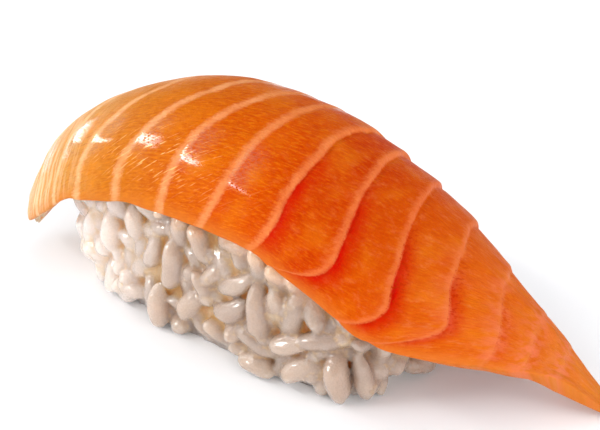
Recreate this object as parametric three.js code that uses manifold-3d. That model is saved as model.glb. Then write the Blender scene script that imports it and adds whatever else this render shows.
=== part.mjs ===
// Salmon nigiri: a slice of salmon draped over a hand-pressed block of rice.
// Millimetres, +Z up. +X runs along the slice to its pointed tail, and -Y is the front.
import * as THREE from "three";
import { mergeVertices } from "three/addons/utils/BufferGeometryUtils.js";
import Module from "manifold-3d";

const wasm = await Module();
wasm.setup();

// ---- Driving dimensions -------------------------------------------------------------------------

// The table point below the middle of the finished piece, in the frame that the sizes below use.
const MIDDLE = new THREE.Vector3(4.2, 0.69, 0);

// Free space that the slice keeps above the rice.
const GAP = 0.3;

// A distance that is well past the piece on every side, and one too small to matter.
const FAR_OUT = 60;
const TINY = 0.0001;

// Cross-sections of the slice, from its blunt end to its tail, closest together at both ends.
// x, y and z place the ridge. Reach and drop say how far out and down the front and back hems lie.
// Sweep is the part of a quarter ellipse, in degrees, that the section bends through on each side,
// and depth is the thickness of the flesh under the ridge.
const SECTIONS = [
  {
    x: -34.9, y: -3.4, z: 3.4, sweep: 80, depth: 0.8,
    frontReach: 2.0, frontDrop: -1.0, backReach: 2.8, backDrop: 0.8,
  },
  {
    x: -30.5, y: -1.3, z: 16.2, sweep: 90, depth: 3.2,
    frontReach: 6.8, frontDrop: 9.4, backReach: 8.2, backDrop: 6.0,
  },
  {
    x: -21.5, y: -0.7, z: 23.3, sweep: 90, depth: 4.6,
    frontReach: 10.4, frontDrop: 9.6, backReach: 14.0, backDrop: 9.8,
  },
  {
    x: -10.1, y: -0.1, z: 27.2, sweep: 90, depth: 5.2,
    frontReach: 11.6, frontDrop: 10.8, backReach: 15.0, backDrop: 11.0,
  },
  {
    x: 2.9, y: 0.9, z: 26.6, sweep: 90, depth: 5.2,
    frontReach: 13.4, frontDrop: 9.9, backReach: 14.0, backDrop: 11.2,
  },
  {
    x: 13.8, y: 1.1, z: 22.3, sweep: 90, depth: 4.8,
    frontReach: 14.6, frontDrop: 8.5, backReach: 12.8, backDrop: 10.0,
  },
  {
    x: 23.0, y: 1.0, z: 17.2, sweep: 85, depth: 3.8,
    frontReach: 14.4, frontDrop: 6.9, backReach: 10.2, backDrop: 7.2,
  },
  {
    x: 33.5, y: 1.5, z: 10.9, sweep: 65, depth: 2.0,
    frontReach: 7.5, frontDrop: 3.5, backReach: 4.8, backDrop: 4.8,
  },
  {
    x: 38.2, y: 1.95, z: 6.6, sweep: 55, depth: 3.2,
    frontReach: 3.8, frontDrop: 0.9, backReach: 2.9, backDrop: 2.6,
  },
  {
    x: 43.4, y: 2.2, z: 1.5, sweep: 45, depth: 0.9,
    frontReach: 0.6, frontDrop: 0.3, backReach: 0.9, backDrop: 0.6,
  },
];
const SECTION_FIELDS = Object.keys(SECTIONS[0]);
const LAST_SECTION = SECTIONS.length - 1;

// The hems are this thick, or this share of the reach where the slice is narrow.
const HEM_THICKNESS = 1.9;
const HEM_SHARE = 0.4;

// Where the sweep is this many degrees short of a full quarter, the hem is a plain upright cut.
const UPRIGHT_CUT_AT = 25;

// The blunt end is rounded in plan over this part of the first section step.
const ROUNDED_END = 0.7;

// Lines of fat across the slice, in section steps along the ridge. Lean moves a line along the slice
// on the front shoulder, hook pulls it back at the front hem, and step is the height of the ledge
// where one flake of flesh ends and the next begins.
const FAT_LINES = [
  { at: 1.04, lean: 0.1, hook: 0, step: 0 },
  { at: 1.94, lean: -0.28, hook: 0, step: 0 },
  { at: 2.55, lean: -0.42, hook: 0, step: 0 },
  { at: 3.17, lean: -0.48, hook: 0, step: 0.05 },
  { at: 3.59, lean: -0.32, hook: 0.05, step: 0.05 },
  { at: 3.98, lean: -0.15, hook: 0.18, step: 0.1 },
  { at: 4.47, lean: -0.02, hook: 0.24, step: 0.2 },
  { at: 4.98, lean: 0.23, hook: 0.74, step: 0.5 },
  { at: 5.57, lean: 0.38, hook: 0.54, step: 0.4 },
  { at: 6.16, lean: 0.29, hook: 0.64, step: 0.4 },
  { at: 6.64, lean: 0.23, hook: 0.09, step: 0.3 },
  { at: 7.17, lean: 0.15, hook: 0, step: 0.15 },
  { at: 7.93, lean: 0.12, hook: 0.05, step: 0.05 },
];
const LEAN_SHOULDER = 0.6;
const LEAN_BEHIND = 0.7;
const LEAN_EASING = 0.4;
const LEDGE_BELOW = 0.35;

// The share of each ledge's height on the ridge, how it rises towards the back hem, and its least.
const LEDGE_AT_RIDGE = 0.55;
const LEDGE_RISE = 0.9;
const LEDGE_IN_FRONT = 0.2;

// Where the slice has its rings within each flake, and its points from hem to hem.
const FLAKE_RINGS = [0.03, 0.36, 0.7, 0.95];
const END_RINGS = [0.02, 0.07, 0.16, 0.3, 0.52, 0.76, 0.95];
const TOP_STEPS = 16;
const UNDER_STEPS = 8;

// The rice block: half sizes at its widest level, its middle on the table, its turn as a slope,
// and how its sides and ends narrow above and below that level. Its end under the blunt end of the
// slice leans out with height. Squareness makes its outline rounder, from 0 up to 2 for an ellipse.
const RICE = {
  x: -0.9,
  y: 0.9,
  tailHalf: 24.3,
  bluntHalf: 25.9,
  bluntFlare: 0.27,
  halfWidth: 13.1,
  turn: -0.14,
  widestAt: 5,
  sideNarrowing: 0.025,
  endNarrowing: 0.01,
  squareness: 0.3,
};
const CORE_INSET = 1.7;
const CORE_SIDES = 30;
const CORE_LEVELS = [0, 3.5, 8, 13, 18, 21, 23.5];

// Large grains at the front of the block: where the middle of each is along the block and above the
// table, the lean of its length from level in degrees, its size, and how far it stands proud.
const FRONT_GRAINS = [
  { along: -15.5, up: 9.2, lean: 84, long: 5.6, wide: 2.7, proud: 0.3 },
  { along: -11.1, up: 12.2, lean: 96, long: 4.6, wide: 2.4, proud: 0.3 },
  { along: -11.9, up: 2.2, lean: 35, long: 5.7, wide: 2.7, proud: 0.3 },
  { along: -8.0, up: 9.6, lean: 70, long: 5.4, wide: 2.2, proud: 0 },
  { along: -3.8, up: 14.0, lean: 90, long: 4.8, wide: 2.5, proud: 0.2 },
  { along: -0.4, up: 13.4, lean: 117, long: 5.2, wide: 2.7, proud: 0.3 },
  { along: -4.5, up: 9.2, lean: 84, long: 6.8, wide: 2.9, proud: 0.5 },
  { along: -6.3, up: 3.2, lean: 88, long: 6.4, wide: 2.6, proud: 1.0 },
  { along: 5.3, up: 10.4, lean: 35, long: 5.9, wide: 2.2, proud: 0 },
  { along: 5.1, up: 7.3, lean: 34, long: 5.9, wide: 2.6, proud: 0.4 },
  { along: 9.1, up: 8.6, lean: -83, long: 7.2, wide: 2.9, proud: 0.7 },
  { along: 8.6, up: 4.2, lean: -22, long: 5.6, wide: 2.5, proud: 0.1 },
  { along: 8.9, up: 1.4, lean: -4, long: 5.0, wide: 2.4, proud: 0.8 },
  { along: 13.3, up: 6.0, lean: 21, long: 5.2, wide: 2.6, proud: 0.5 },
  { along: 13.4, up: 9.4, lean: 75, long: 4.8, wide: 2.4, proud: 0.1 },
  { along: 14.6, up: 2.8, lean: 35, long: 5.9, wide: 2.8, proud: 0.5 },
  { along: 16.9, up: 7.6, lean: 17, long: 5.9, wide: 2.4, proud: 0.2 },
  { along: 19.0, up: 3.3, lean: -84, long: 6.6, wide: 3.1, proud: 1.2 },
  { along: 21.3, up: 3.6, lean: -80, long: 6.4, wide: 2.5, proud: 0.4 },
];

// The other grains of cooked rice on the sides of the block, and how they settle against each other.
const GRAIN = {
  count: 139,
  halfLength: [2.5, 3.2],
  radius: [1.2, 1.5],
  outwardLean: 0.45,
  uprightLean: 1.2,
  roughness: 0.45,
  overlap: 0.94,
  turning: 0.3,
  settling: 0.5,
  passes: 70,
};
const SEED = 20241;
const RANDOM_FACTOR = 1664525;
const RANDOM_STEP = 1013904223;
const RANDOM_RANGE = 4294967296;

// A grain's low body, as shares of its radius and half length, and how far its joints may be eased.
const GRAIN_PROFILE = [[0, -1], [0.84, -0.7], [1.08, 0], [0.84, 0.7], [0, 1]];
const GRAIN_SIDES = 6;
const GRAIN_TOLERANCE = 0.02;

// Steps of the even sequence: the powers of the plastic ratio's inverse.
const PLACE_STEP = 0.7548776662466927;
const HEIGHT_STEP = 0.5698402909980532;

const SALMON_FINISH = { color: 0xf0701c, roughness: 0.35, metalness: 0 };
const RICE_FINISH = { color: 0xece4da, roughness: 0.4, metalness: 0 };

// ---- The slice's surface ------------------------------------------------------------------------

const clamp = THREE.MathUtils.clamp;

function catmullRom(a, b, c, d, f) {
  const slope = c - a;
  const bend = 2 * a - 5 * b + 4 * c - d;
  const twist = 3 * b - a - 3 * c + d;
  return 0.5 * (2 * b + slope * f + bend * f * f + twist * f * f * f);
}

// One field of the cross-section at t, counted in section steps from the blunt end.
function fieldAt(field, t) {
  const i = clamp(Math.floor(t), 0, LAST_SECTION - 1);
  const b = SECTIONS[i][field];
  const c = SECTIONS[i + 1][field];
  const a = i > 0 ? SECTIONS[i - 1][field] : 2 * b - c;
  const d = i < LAST_SECTION - 1 ? SECTIONS[i + 2][field] : 2 * c - b;
  return catmullRom(a, b, c, d, t - i);
}

function sectionAt(t) {
  const section = {};
  for (const field of SECTION_FIELDS) {
    section[field] = fieldAt(field, t);
  }
  section.upright = clamp((90 - section.sweep) / UPRIGHT_CUT_AT, 0, 1);
  const end = clamp(t / ROUNDED_END, 0, 1);
  section.rounding = Math.sqrt(1 - (1 - end) * (1 - end));
  return section;
}

// The outer surface (skin 0) or the underside (skin 1). v runs from -1 at the front hem,
// over the ridge at 0, to 1 at the back hem.
function surfacePoint(t, v, skin) {
  const section = sectionAt(t);
  const fullReach = (v < 0 ? section.frontReach : section.backReach) * section.rounding;
  const fullDrop = v < 0 ? section.frontDrop : section.backDrop;
  const depth = section.depth * skin;
  const reach = fullReach - skin * Math.min(HEM_THICKNESS, HEM_SHARE * fullReach);
  const drop = fullDrop - depth * (1 - section.upright);
  const sweep = THREE.MathUtils.degToRad(section.sweep);
  const angle = Math.abs(v) * sweep;
  const y = section.y + Math.sign(v) * reach * Math.sin(angle) / Math.sin(sweep);
  const z = section.z - depth - drop * (1 - Math.cos(angle)) / (1 - Math.cos(sweep));
  return new THREE.Vector3(section.x, y, z);
}

function outwardNormal(t, v) {
  const nudge = 0.01;
  const inner = clamp(t, nudge, LAST_SECTION - nudge);
  const along = surfacePoint(inner + nudge, v, 0).sub(surfacePoint(inner - nudge, v, 0));
  const across = surfacePoint(inner, v + nudge, 0).sub(surfacePoint(inner, v - nudge, 0));
  return along.cross(across).normalize();
}

// The lines of fat with the two ends of the slice added, so that flake w lies between line w and w + 1.
const BLUNT_END = { at: 0, lean: 0, hook: 0, step: 0 };
const TAIL_END = { at: LAST_SECTION, lean: 0, hook: 0, step: 0 };
const LINES = [BLUNT_END, ...FAT_LINES, TAIL_END];
const FLAKES = LINES.length - 1;

function lineField(field, w) {
  const i = clamp(Math.floor(w), 0, FLAKES - 1);
  return THREE.MathUtils.lerp(LINES[i][field], LINES[i + 1][field], w - i);
}

// Place along the slice, in section steps, of the flake coordinate w at v.
function alongSlice(w, v) {
  const front = -v / LEAN_SHOULDER;
  const corner = clamp(front - 1 + LEAN_EASING, 0, 2 * LEAN_EASING);
  const frontLean = Math.min(front, 1 + LEAN_EASING) - corner * corner / (4 * LEAN_EASING);
  const shoulder = v < 0 ? frontLean : LEAN_BEHIND * front;
  const pastShoulder = Math.max(0, (-v - LEAN_SHOULDER) / (1 - LEAN_SHOULDER));
  const hook = lineField("hook", w) * pastShoulder * pastShoulder;
  return clamp(lineField("at", w) + lineField("lean", w) * shoulder - hook, 0, LAST_SECTION);
}

// Each flake climbs towards the line of fat on its tail side and ends there in a ledge.
function flakeRelief(w, v) {
  const share = clamp(LEDGE_AT_RIDGE + LEDGE_RISE * v, LEDGE_IN_FRONT, 1);
  const i = clamp(Math.floor(w), 0, FLAKES - 1);
  const f = w - i;
  const climb = LINES[i + 1].step * (f * f - LEDGE_BELOW);
  const foot = LINES[i].step * LEDGE_BELOW * (1 - f) * (1 - f);
  return share * (climb - foot);
}

// ---- Meshes -------------------------------------------------------------------------------------

// A closed surface through rings of equal length, with a fan on a middle point at each end.
function loftRings(rings) {
  const size = rings[0].length;
  const points = rings.flat();
  const faces = [];
  for (let r = 0; r < rings.length - 1; r += 1) {
    for (let k = 0; k < size; k += 1) {
      const a = r * size + k;
      const b = r * size + (k + 1) % size;
      faces.push(a, a + size, b, b, a + size, b + size);
    }
  }
  const capRing = (ring, first, flipped) => {
    const middle = points.length;
    const sum = ring.reduce((total, point) => total.add(point), new THREE.Vector3());
    points.push(sum.divideScalar(size));
    for (let k = 0; k < size; k += 1) {
      const a = first + k;
      const b = first + (k + 1) % size;
      faces.push(middle, flipped ? a : b, flipped ? b : a);
    }
  };
  capRing(rings[0], 0, true);
  capRing(rings.at(-1), (rings.length - 1) * size, false);
  const geometry = new THREE.BufferGeometry().setFromPoints(points);
  geometry.setIndex(faces);
  return geometry;
}

// The flake coordinates of the slice's rings, closest where the blunt end is rounded.
function ringCoordinates() {
  const coordinates = [...END_RINGS];
  for (let flake = 1; flake < FLAKES; flake += 1) {
    coordinates.push(...FLAKE_RINGS.map((f) => flake + f));
  }
  return coordinates;
}

// One ring of the slice: over the top from hem to hem, and back along the underside.
function sliceRing(w) {
  const ring = [];
  for (let k = 0; k <= TOP_STEPS; k += 1) {
    const v = 2 * k / TOP_STEPS - 1;
    const t = alongSlice(w, v);
    ring.push(surfacePoint(t, v, 0).addScaledVector(outwardNormal(t, v), flakeRelief(w, v)));
  }
  for (let k = 0; k <= UNDER_STEPS; k += 1) {
    const v = 1 - 2 * k / UNDER_STEPS;
    ring.push(surfacePoint(alongSlice(w, v), v, 1));
  }
  return ring;
}

function makeSlice() {
  return loftRings(ringCoordinates().map(sliceRing));
}

// Everything above the slice's underside, less the gap: what has to be cut off the rice.
function makeSpaceOverRice() {
  const steps = 2 * LAST_SECTION + 1;
  const rings = [];
  for (let r = 0; r < steps; r += 1) {
    const t = r * LAST_SECTION / (steps - 1);
    const under = [];
    for (let k = 0; k <= UNDER_STEPS; k += 1) {
      under.push(surfacePoint(t, 1 - 2 * k / UNDER_STEPS, 1));
      under[k].z -= GAP;
    }
    const x = under[0].x;
    const backHem = new THREE.Vector3(x, FAR_OUT, under[0].z);
    const frontHem = new THREE.Vector3(x, -FAR_OUT, under.at(-1).z);
    const frontTop = new THREE.Vector3(x, -FAR_OUT, FAR_OUT);
    const backTop = new THREE.Vector3(x, FAR_OUT, FAR_OUT);
    rings.push([backHem, ...under, frontHem, frontTop, backTop]);
  }
  return loftRings(rings);
}

// ---- The rice block -----------------------------------------------------------------------------

const TURN_COS = 1 / Math.sqrt(1 + RICE.turn * RICE.turn);
const TURN_SIN = RICE.turn * TURN_COS;

function toBlock(x, y) {
  const dx = x - RICE.x;
  const dy = y - RICE.y;
  return [dx * TURN_COS + dy * TURN_SIN, dy * TURN_COS - dx * TURN_SIN];
}

function fromBlock(u, v) {
  return [RICE.x + u * TURN_COS - v * TURN_SIN, RICE.y + u * TURN_SIN + v * TURN_COS];
}

function halfSizes(u, z) {
  const level = (z - RICE.widestAt) / RICE.widestAt;
  const half = u < 0 ? RICE.bluntHalf + RICE.bluntFlare * z : RICE.tailHalf;
  const length = half * (1 - RICE.endNarrowing * level * level);
  const width = RICE.halfWidth * (1 - RICE.sideNarrowing * level * level);
  return [length, width];
}

// Height of the outline's squarish rule at a point of the block: 1 on its side, less inside.
function outlineRule(p, q) {
  return p * p * p * p + q * q * q * q + RICE.squareness * p * p * q * q;
}

// Distance out of the block's side at a point, negative inside, and the way straight out.
function blockSide(x, y, z) {
  const [u, v] = toBlock(x, y);
  const [length, width] = halfSizes(u, z);
  const p = u / length;
  const q = v / width;
  const root = Math.sqrt(Math.sqrt(outlineRule(p, q)));
  const slopeU = (4 * p * p * p + 2 * RICE.squareness * p * q * q) / length;
  const slopeV = (4 * q * q * q + 2 * RICE.squareness * p * p * q) / width;
  const steepness = Math.sqrt(slopeU * slopeU + slopeV * slopeV);
  const away = (root - 1) * 4 * root * root * root / steepness;
  const outU = slopeU / steepness;
  const outV = slopeV / steepness;
  const nx = outU * TURN_COS - outV * TURN_SIN;
  const ny = outU * TURN_SIN + outV * TURN_COS;
  return { away, nx, ny };
}

function makeCore() {
  const rings = CORE_LEVELS.map((z) => {
    const ring = [];
    for (let k = 0; k < CORE_SIDES; k += 1) {
      const angle = -2 * Math.PI * k / CORE_SIDES;
      const [length, width] = halfSizes(Math.cos(angle), z);
      const reach = 1 / Math.sqrt(Math.sqrt(outlineRule(Math.cos(angle), Math.sin(angle))));
      const u = (length - CORE_INSET) * Math.cos(angle) * reach;
      const v = (width - CORE_INSET) * Math.sin(angle) * reach;
      const [x, y] = fromBlock(u, v);
      ring.push(new THREE.Vector3(x, y, z));
    }
    return ring;
  });
  return loftRings(rings);
}

// ---- The grains ---------------------------------------------------------------------------------

// Random numbers from 0 to 1 by a linear congruential rule, the same on every run.
function makeRandom(seed) {
  let state = seed;
  return () => {
    state = (state * RANDOM_FACTOR + RANDOM_STEP) % RANDOM_RANGE;
    return state / RANDOM_RANGE;
  };
}

// Place along the slice at which its ridge is over x.
function placeOver(x) {
  let low = 0;
  let high = LAST_SECTION;
  while (high - low > TINY) {
    const middle = (low + high) / 2;
    if (fieldAt("x", middle) < x) {
      low = middle;
    } else {
      high = middle;
    }
  }
  return low;
}

// Where the slice's underside is above a point of the rice.
function ceilingOver(x, y) {
  const section = sectionAt(placeOver(x));
  const front = y < section.y;
  const reach = (front ? section.frontReach : section.backReach) - HEM_THICKNESS;
  const drop = (front ? section.frontDrop : section.backDrop) - section.depth * (1 - section.upright);
  const share = Math.min(Math.abs(y - section.y) / reach, 1);
  return section.z - section.depth - drop * (1 - Math.sqrt(1 - share * share)) - GAP;
}

function unit(x, y, z) {
  const size = Math.sqrt(x * x + y * y + z * z);
  return [x / size, y / size, z / size];
}

// A point of the block's outline, spread evenly by a place from 0 to 1 round a rectangle.
function spotOnOutline(place, z) {
  const corner = RICE.halfWidth / (RICE.halfWidth + RICE.tailHalf);
  const lap = (place * 2) % 1;
  const flip = place < 0.5 ? 1 : -1;
  const p = lap < corner ? 1 : 1 - 2 * (lap - corner) / (1 - corner);
  const q = lap < corner ? 2 * lap / corner - 1 : 1;
  const [length, width] = halfSizes(flip * p, z);
  const reach = 1 / Math.sqrt(Math.sqrt(outlineRule(p, q)));
  return fromBlock(flip * p * reach * (length - CORE_INSET), flip * q * reach * (width - CORE_INSET));
}

// The front grains, each lying flat in the side of the block at its place.
function placeFrontGrains() {
  return FRONT_GRAINS.map(({ along, up, lean, long, wide, proud }) => {
    const [length, width] = halfSizes(along, up);
    const p = along / length;
    const square = RICE.squareness * p * p;
    const q = Math.sqrt((Math.sqrt(square * square + 4 * (1 - p * p * p * p)) - square) / 2);
    const [x, y] = fromBlock(along, -q * (width - CORE_INSET));
    const side = blockSide(x, y, up);
    const level = Math.cos(THREE.MathUtils.degToRad(lean));
    const rise = Math.sin(THREE.MathUtils.degToRad(lean));
    const axis = [-side.ny * level, side.nx * level, rise];
    return { centre: [x, y, up], axis, half: long / 2, radius: wide / 2, proud, fixed: true };
  });
}

// Grains at even places all round and up to the slice, by an additive sequence that never clusters.
function scatterGrains(random) {
  const between = (range) => range[0] + (range[1] - range[0]) * random();
  const grains = [];
  for (let k = 0; k < GRAIN.count; k += 1) {
    const place = (k * PLACE_STEP) % 1;
    const [wallX, wallY] = spotOnOutline(place, RICE.widestAt);
    const z = ceilingOver(wallX, wallY) * ((k * HEIGHT_STEP) % 1);
    const [x, y] = spotOnOutline(place, z);
    const side = blockSide(x, y, z);
    const sideways = 2 * random() - 1;
    const upward = GRAIN.uprightLean * (2 * random() - 1);
    const outward = GRAIN.outwardLean * (2 * random() - 1);
    grains.push({
      centre: [x, y, z],
      axis: unit(
        -side.ny * sideways + side.nx * outward,
        side.nx * sideways + side.ny * outward,
        upward,
      ),
      half: between(GRAIN.halfLength),
      radius: between(GRAIN.radius),
      proud: GRAIN.roughness * (2 * random() - 1),
      fixed: false,
    });
  }
  return grains;
}

function dot(a, b) {
  return a[0] * b[0] + a[1] * b[1] + a[2] * b[2];
}

// Half the length of the straight line inside a grain, from which its side is one radius away.
function spineOf(grain) {
  return grain.half - grain.radius;
}

// Places on the spines of two grains where they are closest.
function closestOnSpines(one, two) {
  const gap = [0, 1, 2].map((k) => one.centre[k] - two.centre[k]);
  const along = dot(one.axis, two.axis);
  const onOne = dot(one.axis, gap);
  const onTwo = dot(two.axis, gap);
  const square = 1 - along * along;
  const spineOne = spineOf(one);
  const spineTwo = spineOf(two);
  let s = square > TINY ? clamp((along * onTwo - onOne) / square, -spineOne, spineOne) : 0;
  const t = clamp(along * s + onTwo, -spineTwo, spineTwo);
  s = clamp(along * t - onOne, -spineOne, spineOne);
  return [s, t];
}

// Moves a grain and turns it a little, as a push at a place on its spine would.
function pushGrain(grain, place, push) {
  if (grain.fixed) {
    return;
  }
  for (let k = 0; k < 3; k += 1) {
    grain.centre[k] += push[k];
  }
  const lever = GRAIN.turning * place / (grain.half * grain.half);
  const axis = grain.axis;
  grain.axis = unit(axis[0] + lever * push[0], axis[1] + lever * push[1], axis[2] + lever * push[2]);
}

function separate(one, two) {
  const wanted = GRAIN.overlap * (one.radius + two.radius);
  const [s, t] = closestOnSpines(one, two);
  const apart = [0, 1, 2].map((k) => one.centre[k] + s * one.axis[k] - two.centre[k] - t * two.axis[k]);
  const distance = Math.sqrt(dot(apart, apart));
  if (distance >= wanted || distance < TINY) {
    return;
  }
  const share = (one.fixed || two.fixed ? 1 : 0.5) * (wanted - distance) / distance;
  const push = apart.map((part) => part * share);
  pushGrain(one, s, push);
  pushGrain(two, t, push.map((part) => -part));
}

// Holds a grain at the side of the block, over the table and under the slice.
function holdInBlock(grain) {
  const centre = grain.centre;
  const side = blockSide(centre[0], centre[1], centre[2]);
  const spine = spineOf(grain);
  const facing = Math.abs(side.nx * grain.axis[0] + side.ny * grain.axis[1]);
  const wanted = grain.proud - grain.radius - spine * facing;
  const shift = GRAIN.settling * (wanted - side.away);
  centre[0] += shift * side.nx;
  centre[1] += shift * side.ny;
  const rise = grain.radius + spine * Math.abs(grain.axis[2]);
  const ceiling = ceilingOver(centre[0], centre[1]) - rise;
  if (ceiling < rise) {
    grain.axis = unit(grain.axis[0], grain.axis[1], GRAIN.settling * grain.axis[2]);
  }
  centre[2] = Math.max(Math.min(centre[2], ceiling), rise);
}

function packGrains() {
  const grains = [...placeFrontGrains(), ...scatterGrains(makeRandom(SEED))];
  for (let pass = 0; pass < GRAIN.passes; pass += 1) {
    for (let i = 0; i < grains.length; i += 1) {
      for (let j = i + 1; j < grains.length; j += 1) {
        const dx = grains[i].centre[0] - grains[j].centre[0];
        const dy = grains[i].centre[1] - grains[j].centre[1];
        const dz = grains[i].centre[2] - grains[j].centre[2];
        const near = grains[i].half + grains[j].half;
        if (dx * dx + dy * dy + dz * dz < near * near) {
          separate(grains[i], grains[j]);
        }
      }
    }
    grains.forEach(holdInBlock);
  }
  return grains;
}

// One grain: the profile turned about its length, and laid along the grain's axis.
function makeGrain(grain) {
  const profile = GRAIN_PROFILE.map(([r, h]) => new THREE.Vector2(r * grain.radius, h * grain.half));
  const geometry = new THREE.LatheGeometry(profile, GRAIN_SIDES);
  const up = new THREE.Vector3(0, 1, 0);
  const turn = new THREE.Quaternion().setFromUnitVectors(up, new THREE.Vector3(...grain.axis));
  geometry.applyQuaternion(turn);
  geometry.translate(...grain.centre);
  return geometry;
}

// ---- Joining ------------------------------------------------------------------------------------

function toSolid(geometry) {
  const bare = geometry.clone();
  bare.deleteAttribute("normal");
  bare.deleteAttribute("uv");
  const merged = mergeVertices(bare, TINY);
  const vertProperties = new Float32Array(merged.attributes.position.array);
  const triVerts = new Uint32Array(merged.index.array);
  return new wasm.Manifold(new wasm.Mesh({ numProp: 3, vertProperties, triVerts }));
}

function fromSolid(solid) {
  const mesh = solid.getMesh();
  const geometry = new THREE.BufferGeometry();
  geometry.setAttribute("position", new THREE.BufferAttribute(mesh.vertProperties, 3));
  geometry.setIndex(new THREE.BufferAttribute(mesh.triVerts, 1));
  return geometry;
}

// The largest closed skin of a solid, which leaves out loose scraps and sealed hollows.
function mainBody(solid) {
  return solid.decompose().reduce((best, part) => (part.volume() > best.volume() ? part : best));
}

function makeRice() {
  let block = toSolid(makeCore());
  for (const grain of packGrains()) {
    block = block.add(toSolid(makeGrain(grain)));
  }
  const table = new THREE.BoxGeometry(2 * FAR_OUT, 2 * FAR_OUT, FAR_OUT);
  table.translate(0, 0, -FAR_OUT / 2);
  const trimmed = block.subtract(toSolid(makeSpaceOverRice())).subtract(toSolid(table));
  return fromSolid(mainBody(trimmed).simplify(GRAIN_TOLERANCE));
}

// ---- The finished piece -------------------------------------------------------------------------

function addPiece(parent, name, geometry, finish) {
  geometry.computeVertexNormals();
  const mesh = new THREE.Mesh(geometry, new THREE.MeshStandardMaterial(finish));
  mesh.name = name;
  parent.add(mesh);
}

const nigiri = new THREE.Group();
nigiri.position.copy(MIDDLE).negate();
addPiece(nigiri, "rice", makeRice(), RICE_FINISH);
addPiece(nigiri, "salmon_slice", makeSlice(), SALMON_FINISH);

export default nigiri;
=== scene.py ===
"""Salmon nigiri: a striped slice of raw salmon draped over a hand-pressed block of cooked rice.

The classes hold their sizes in millimetres, and the meshes are in metres. +X runs along the slice
to its pointed tail, -Y is the front and +Z is up, as in the solid model.
"""

import logging
import math
from dataclasses import astuple, dataclass, field, fields
from enum import Enum
from typing import Any, Callable, Sequence

import bpy
import numpy as np
import openvdb
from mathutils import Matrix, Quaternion, Vector


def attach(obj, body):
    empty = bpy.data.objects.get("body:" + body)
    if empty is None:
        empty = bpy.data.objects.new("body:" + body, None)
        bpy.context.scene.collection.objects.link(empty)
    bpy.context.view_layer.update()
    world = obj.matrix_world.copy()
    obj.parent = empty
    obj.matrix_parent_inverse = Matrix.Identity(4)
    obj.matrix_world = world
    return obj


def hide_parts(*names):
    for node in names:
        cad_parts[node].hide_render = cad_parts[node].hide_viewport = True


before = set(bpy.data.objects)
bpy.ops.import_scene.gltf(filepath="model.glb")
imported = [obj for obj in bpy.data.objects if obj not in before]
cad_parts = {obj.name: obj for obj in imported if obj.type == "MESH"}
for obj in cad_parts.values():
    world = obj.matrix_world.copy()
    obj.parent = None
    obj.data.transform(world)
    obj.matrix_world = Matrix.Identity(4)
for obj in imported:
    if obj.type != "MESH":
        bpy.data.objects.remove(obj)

LOG = logging.getLogger("nigiri")

MM = 0.001
# The middle of the piece's footprint among the driving sizes, which is the origin of the frame.
MIDDLE = np.array([4.2, 0.69, 0.0])
DRAW_FACTOR, DRAW_STEP, DRAW_RANGE = 1664525, 1013904223, 4294967296
TINY = 0.0001

Array = np.ndarray
Colour = tuple[float, float, float]
Pair = tuple[float, float]


# ---- Colours and shader maths --------------------------------------------------------------------


def srgb(red: int, green: int, blue: int) -> Colour:
    """Turns a display colour into the linear colour that a shader takes.

    Args:
        red: Red, 0 to 255.
        green: Green, 0 to 255.
        blue: Blue, 0 to 255.

    Returns:
        The linear colour.
    """
    parts = []
    for part in (red, green, blue):
        share = part / 255
        parts.append(share / 12.92 if share <= 0.04045 else ((share + 0.055) / 1.055) ** 2.4)
    return (parts[0], parts[1], parts[2])


class Blend(Enum):
    """How a Mix node lays one colour over another."""

    MIX = "MIX"
    MULTIPLY = "MULTIPLY"


@dataclass(frozen=True)
class Ease:
    """How a value shows: not at all at one level of it, and with its full weight at another."""

    start: float
    end: float
    weight: float = 1.0


@dataclass(frozen=True)
class Pattern:
    """Smooth noise from 0 to 1.

    Fields:
        fineness: Cells in a millimetre, along each axis.
        detail: How many finer layers it has.
        roughness: How strong the finer layers are.
    """

    fineness: Colour
    detail: float = 3.0
    roughness: float = 0.5


class Value:
    """A number that a shader works out, which Python arithmetic can be written with."""

    def __init__(self, bench: "Bench", socket: bpy.types.NodeSocket) -> None:
        """Wraps an output socket in the material of a bench."""
        self.bench = bench
        self.socket = socket

    def __add__(self, other: "Value | float") -> "Value":
        """Adds."""
        return self.bench.sum("ADD", self, other)

    def __radd__(self, other: float) -> "Value":
        """Adds to a plain number."""
        return self.bench.sum("ADD", other, self)

    def __sub__(self, other: "Value | float") -> "Value":
        """Subtracts."""
        return self.bench.sum("SUBTRACT", self, other)

    def __rsub__(self, other: float) -> "Value":
        """Subtracts from a plain number."""
        return self.bench.sum("SUBTRACT", other, self)

    def __mul__(self, other: "Value | float") -> "Value":
        """Multiplies."""
        return self.bench.sum("MULTIPLY", self, other)

    def __rmul__(self, other: float) -> "Value":
        """Multiplies a plain number."""
        return self.bench.sum("MULTIPLY", other, self)

    def rise(self, start: "Value | float", end: "Value | float") -> "Value":
        """Eases from 0 at the start to 1 at the end, and the end may be the lower of the two."""
        links = {"Value": self, "From Min": start, "From Max": end}
        return self.bench.node("ShaderNodeMapRange", {"interpolation_type": "SMOOTHSTEP"}, links)

    def shown(self, ease: Ease) -> "Value":
        """Eases between two levels of the value, up to a weight."""
        return self.rise(ease.start, ease.end) * ease.weight


def mixed(shares: Pair, first: Value, second: Value) -> Value:
    """Adds two values, each times its share."""
    return shares[0] * first + shares[1] * second


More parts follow.
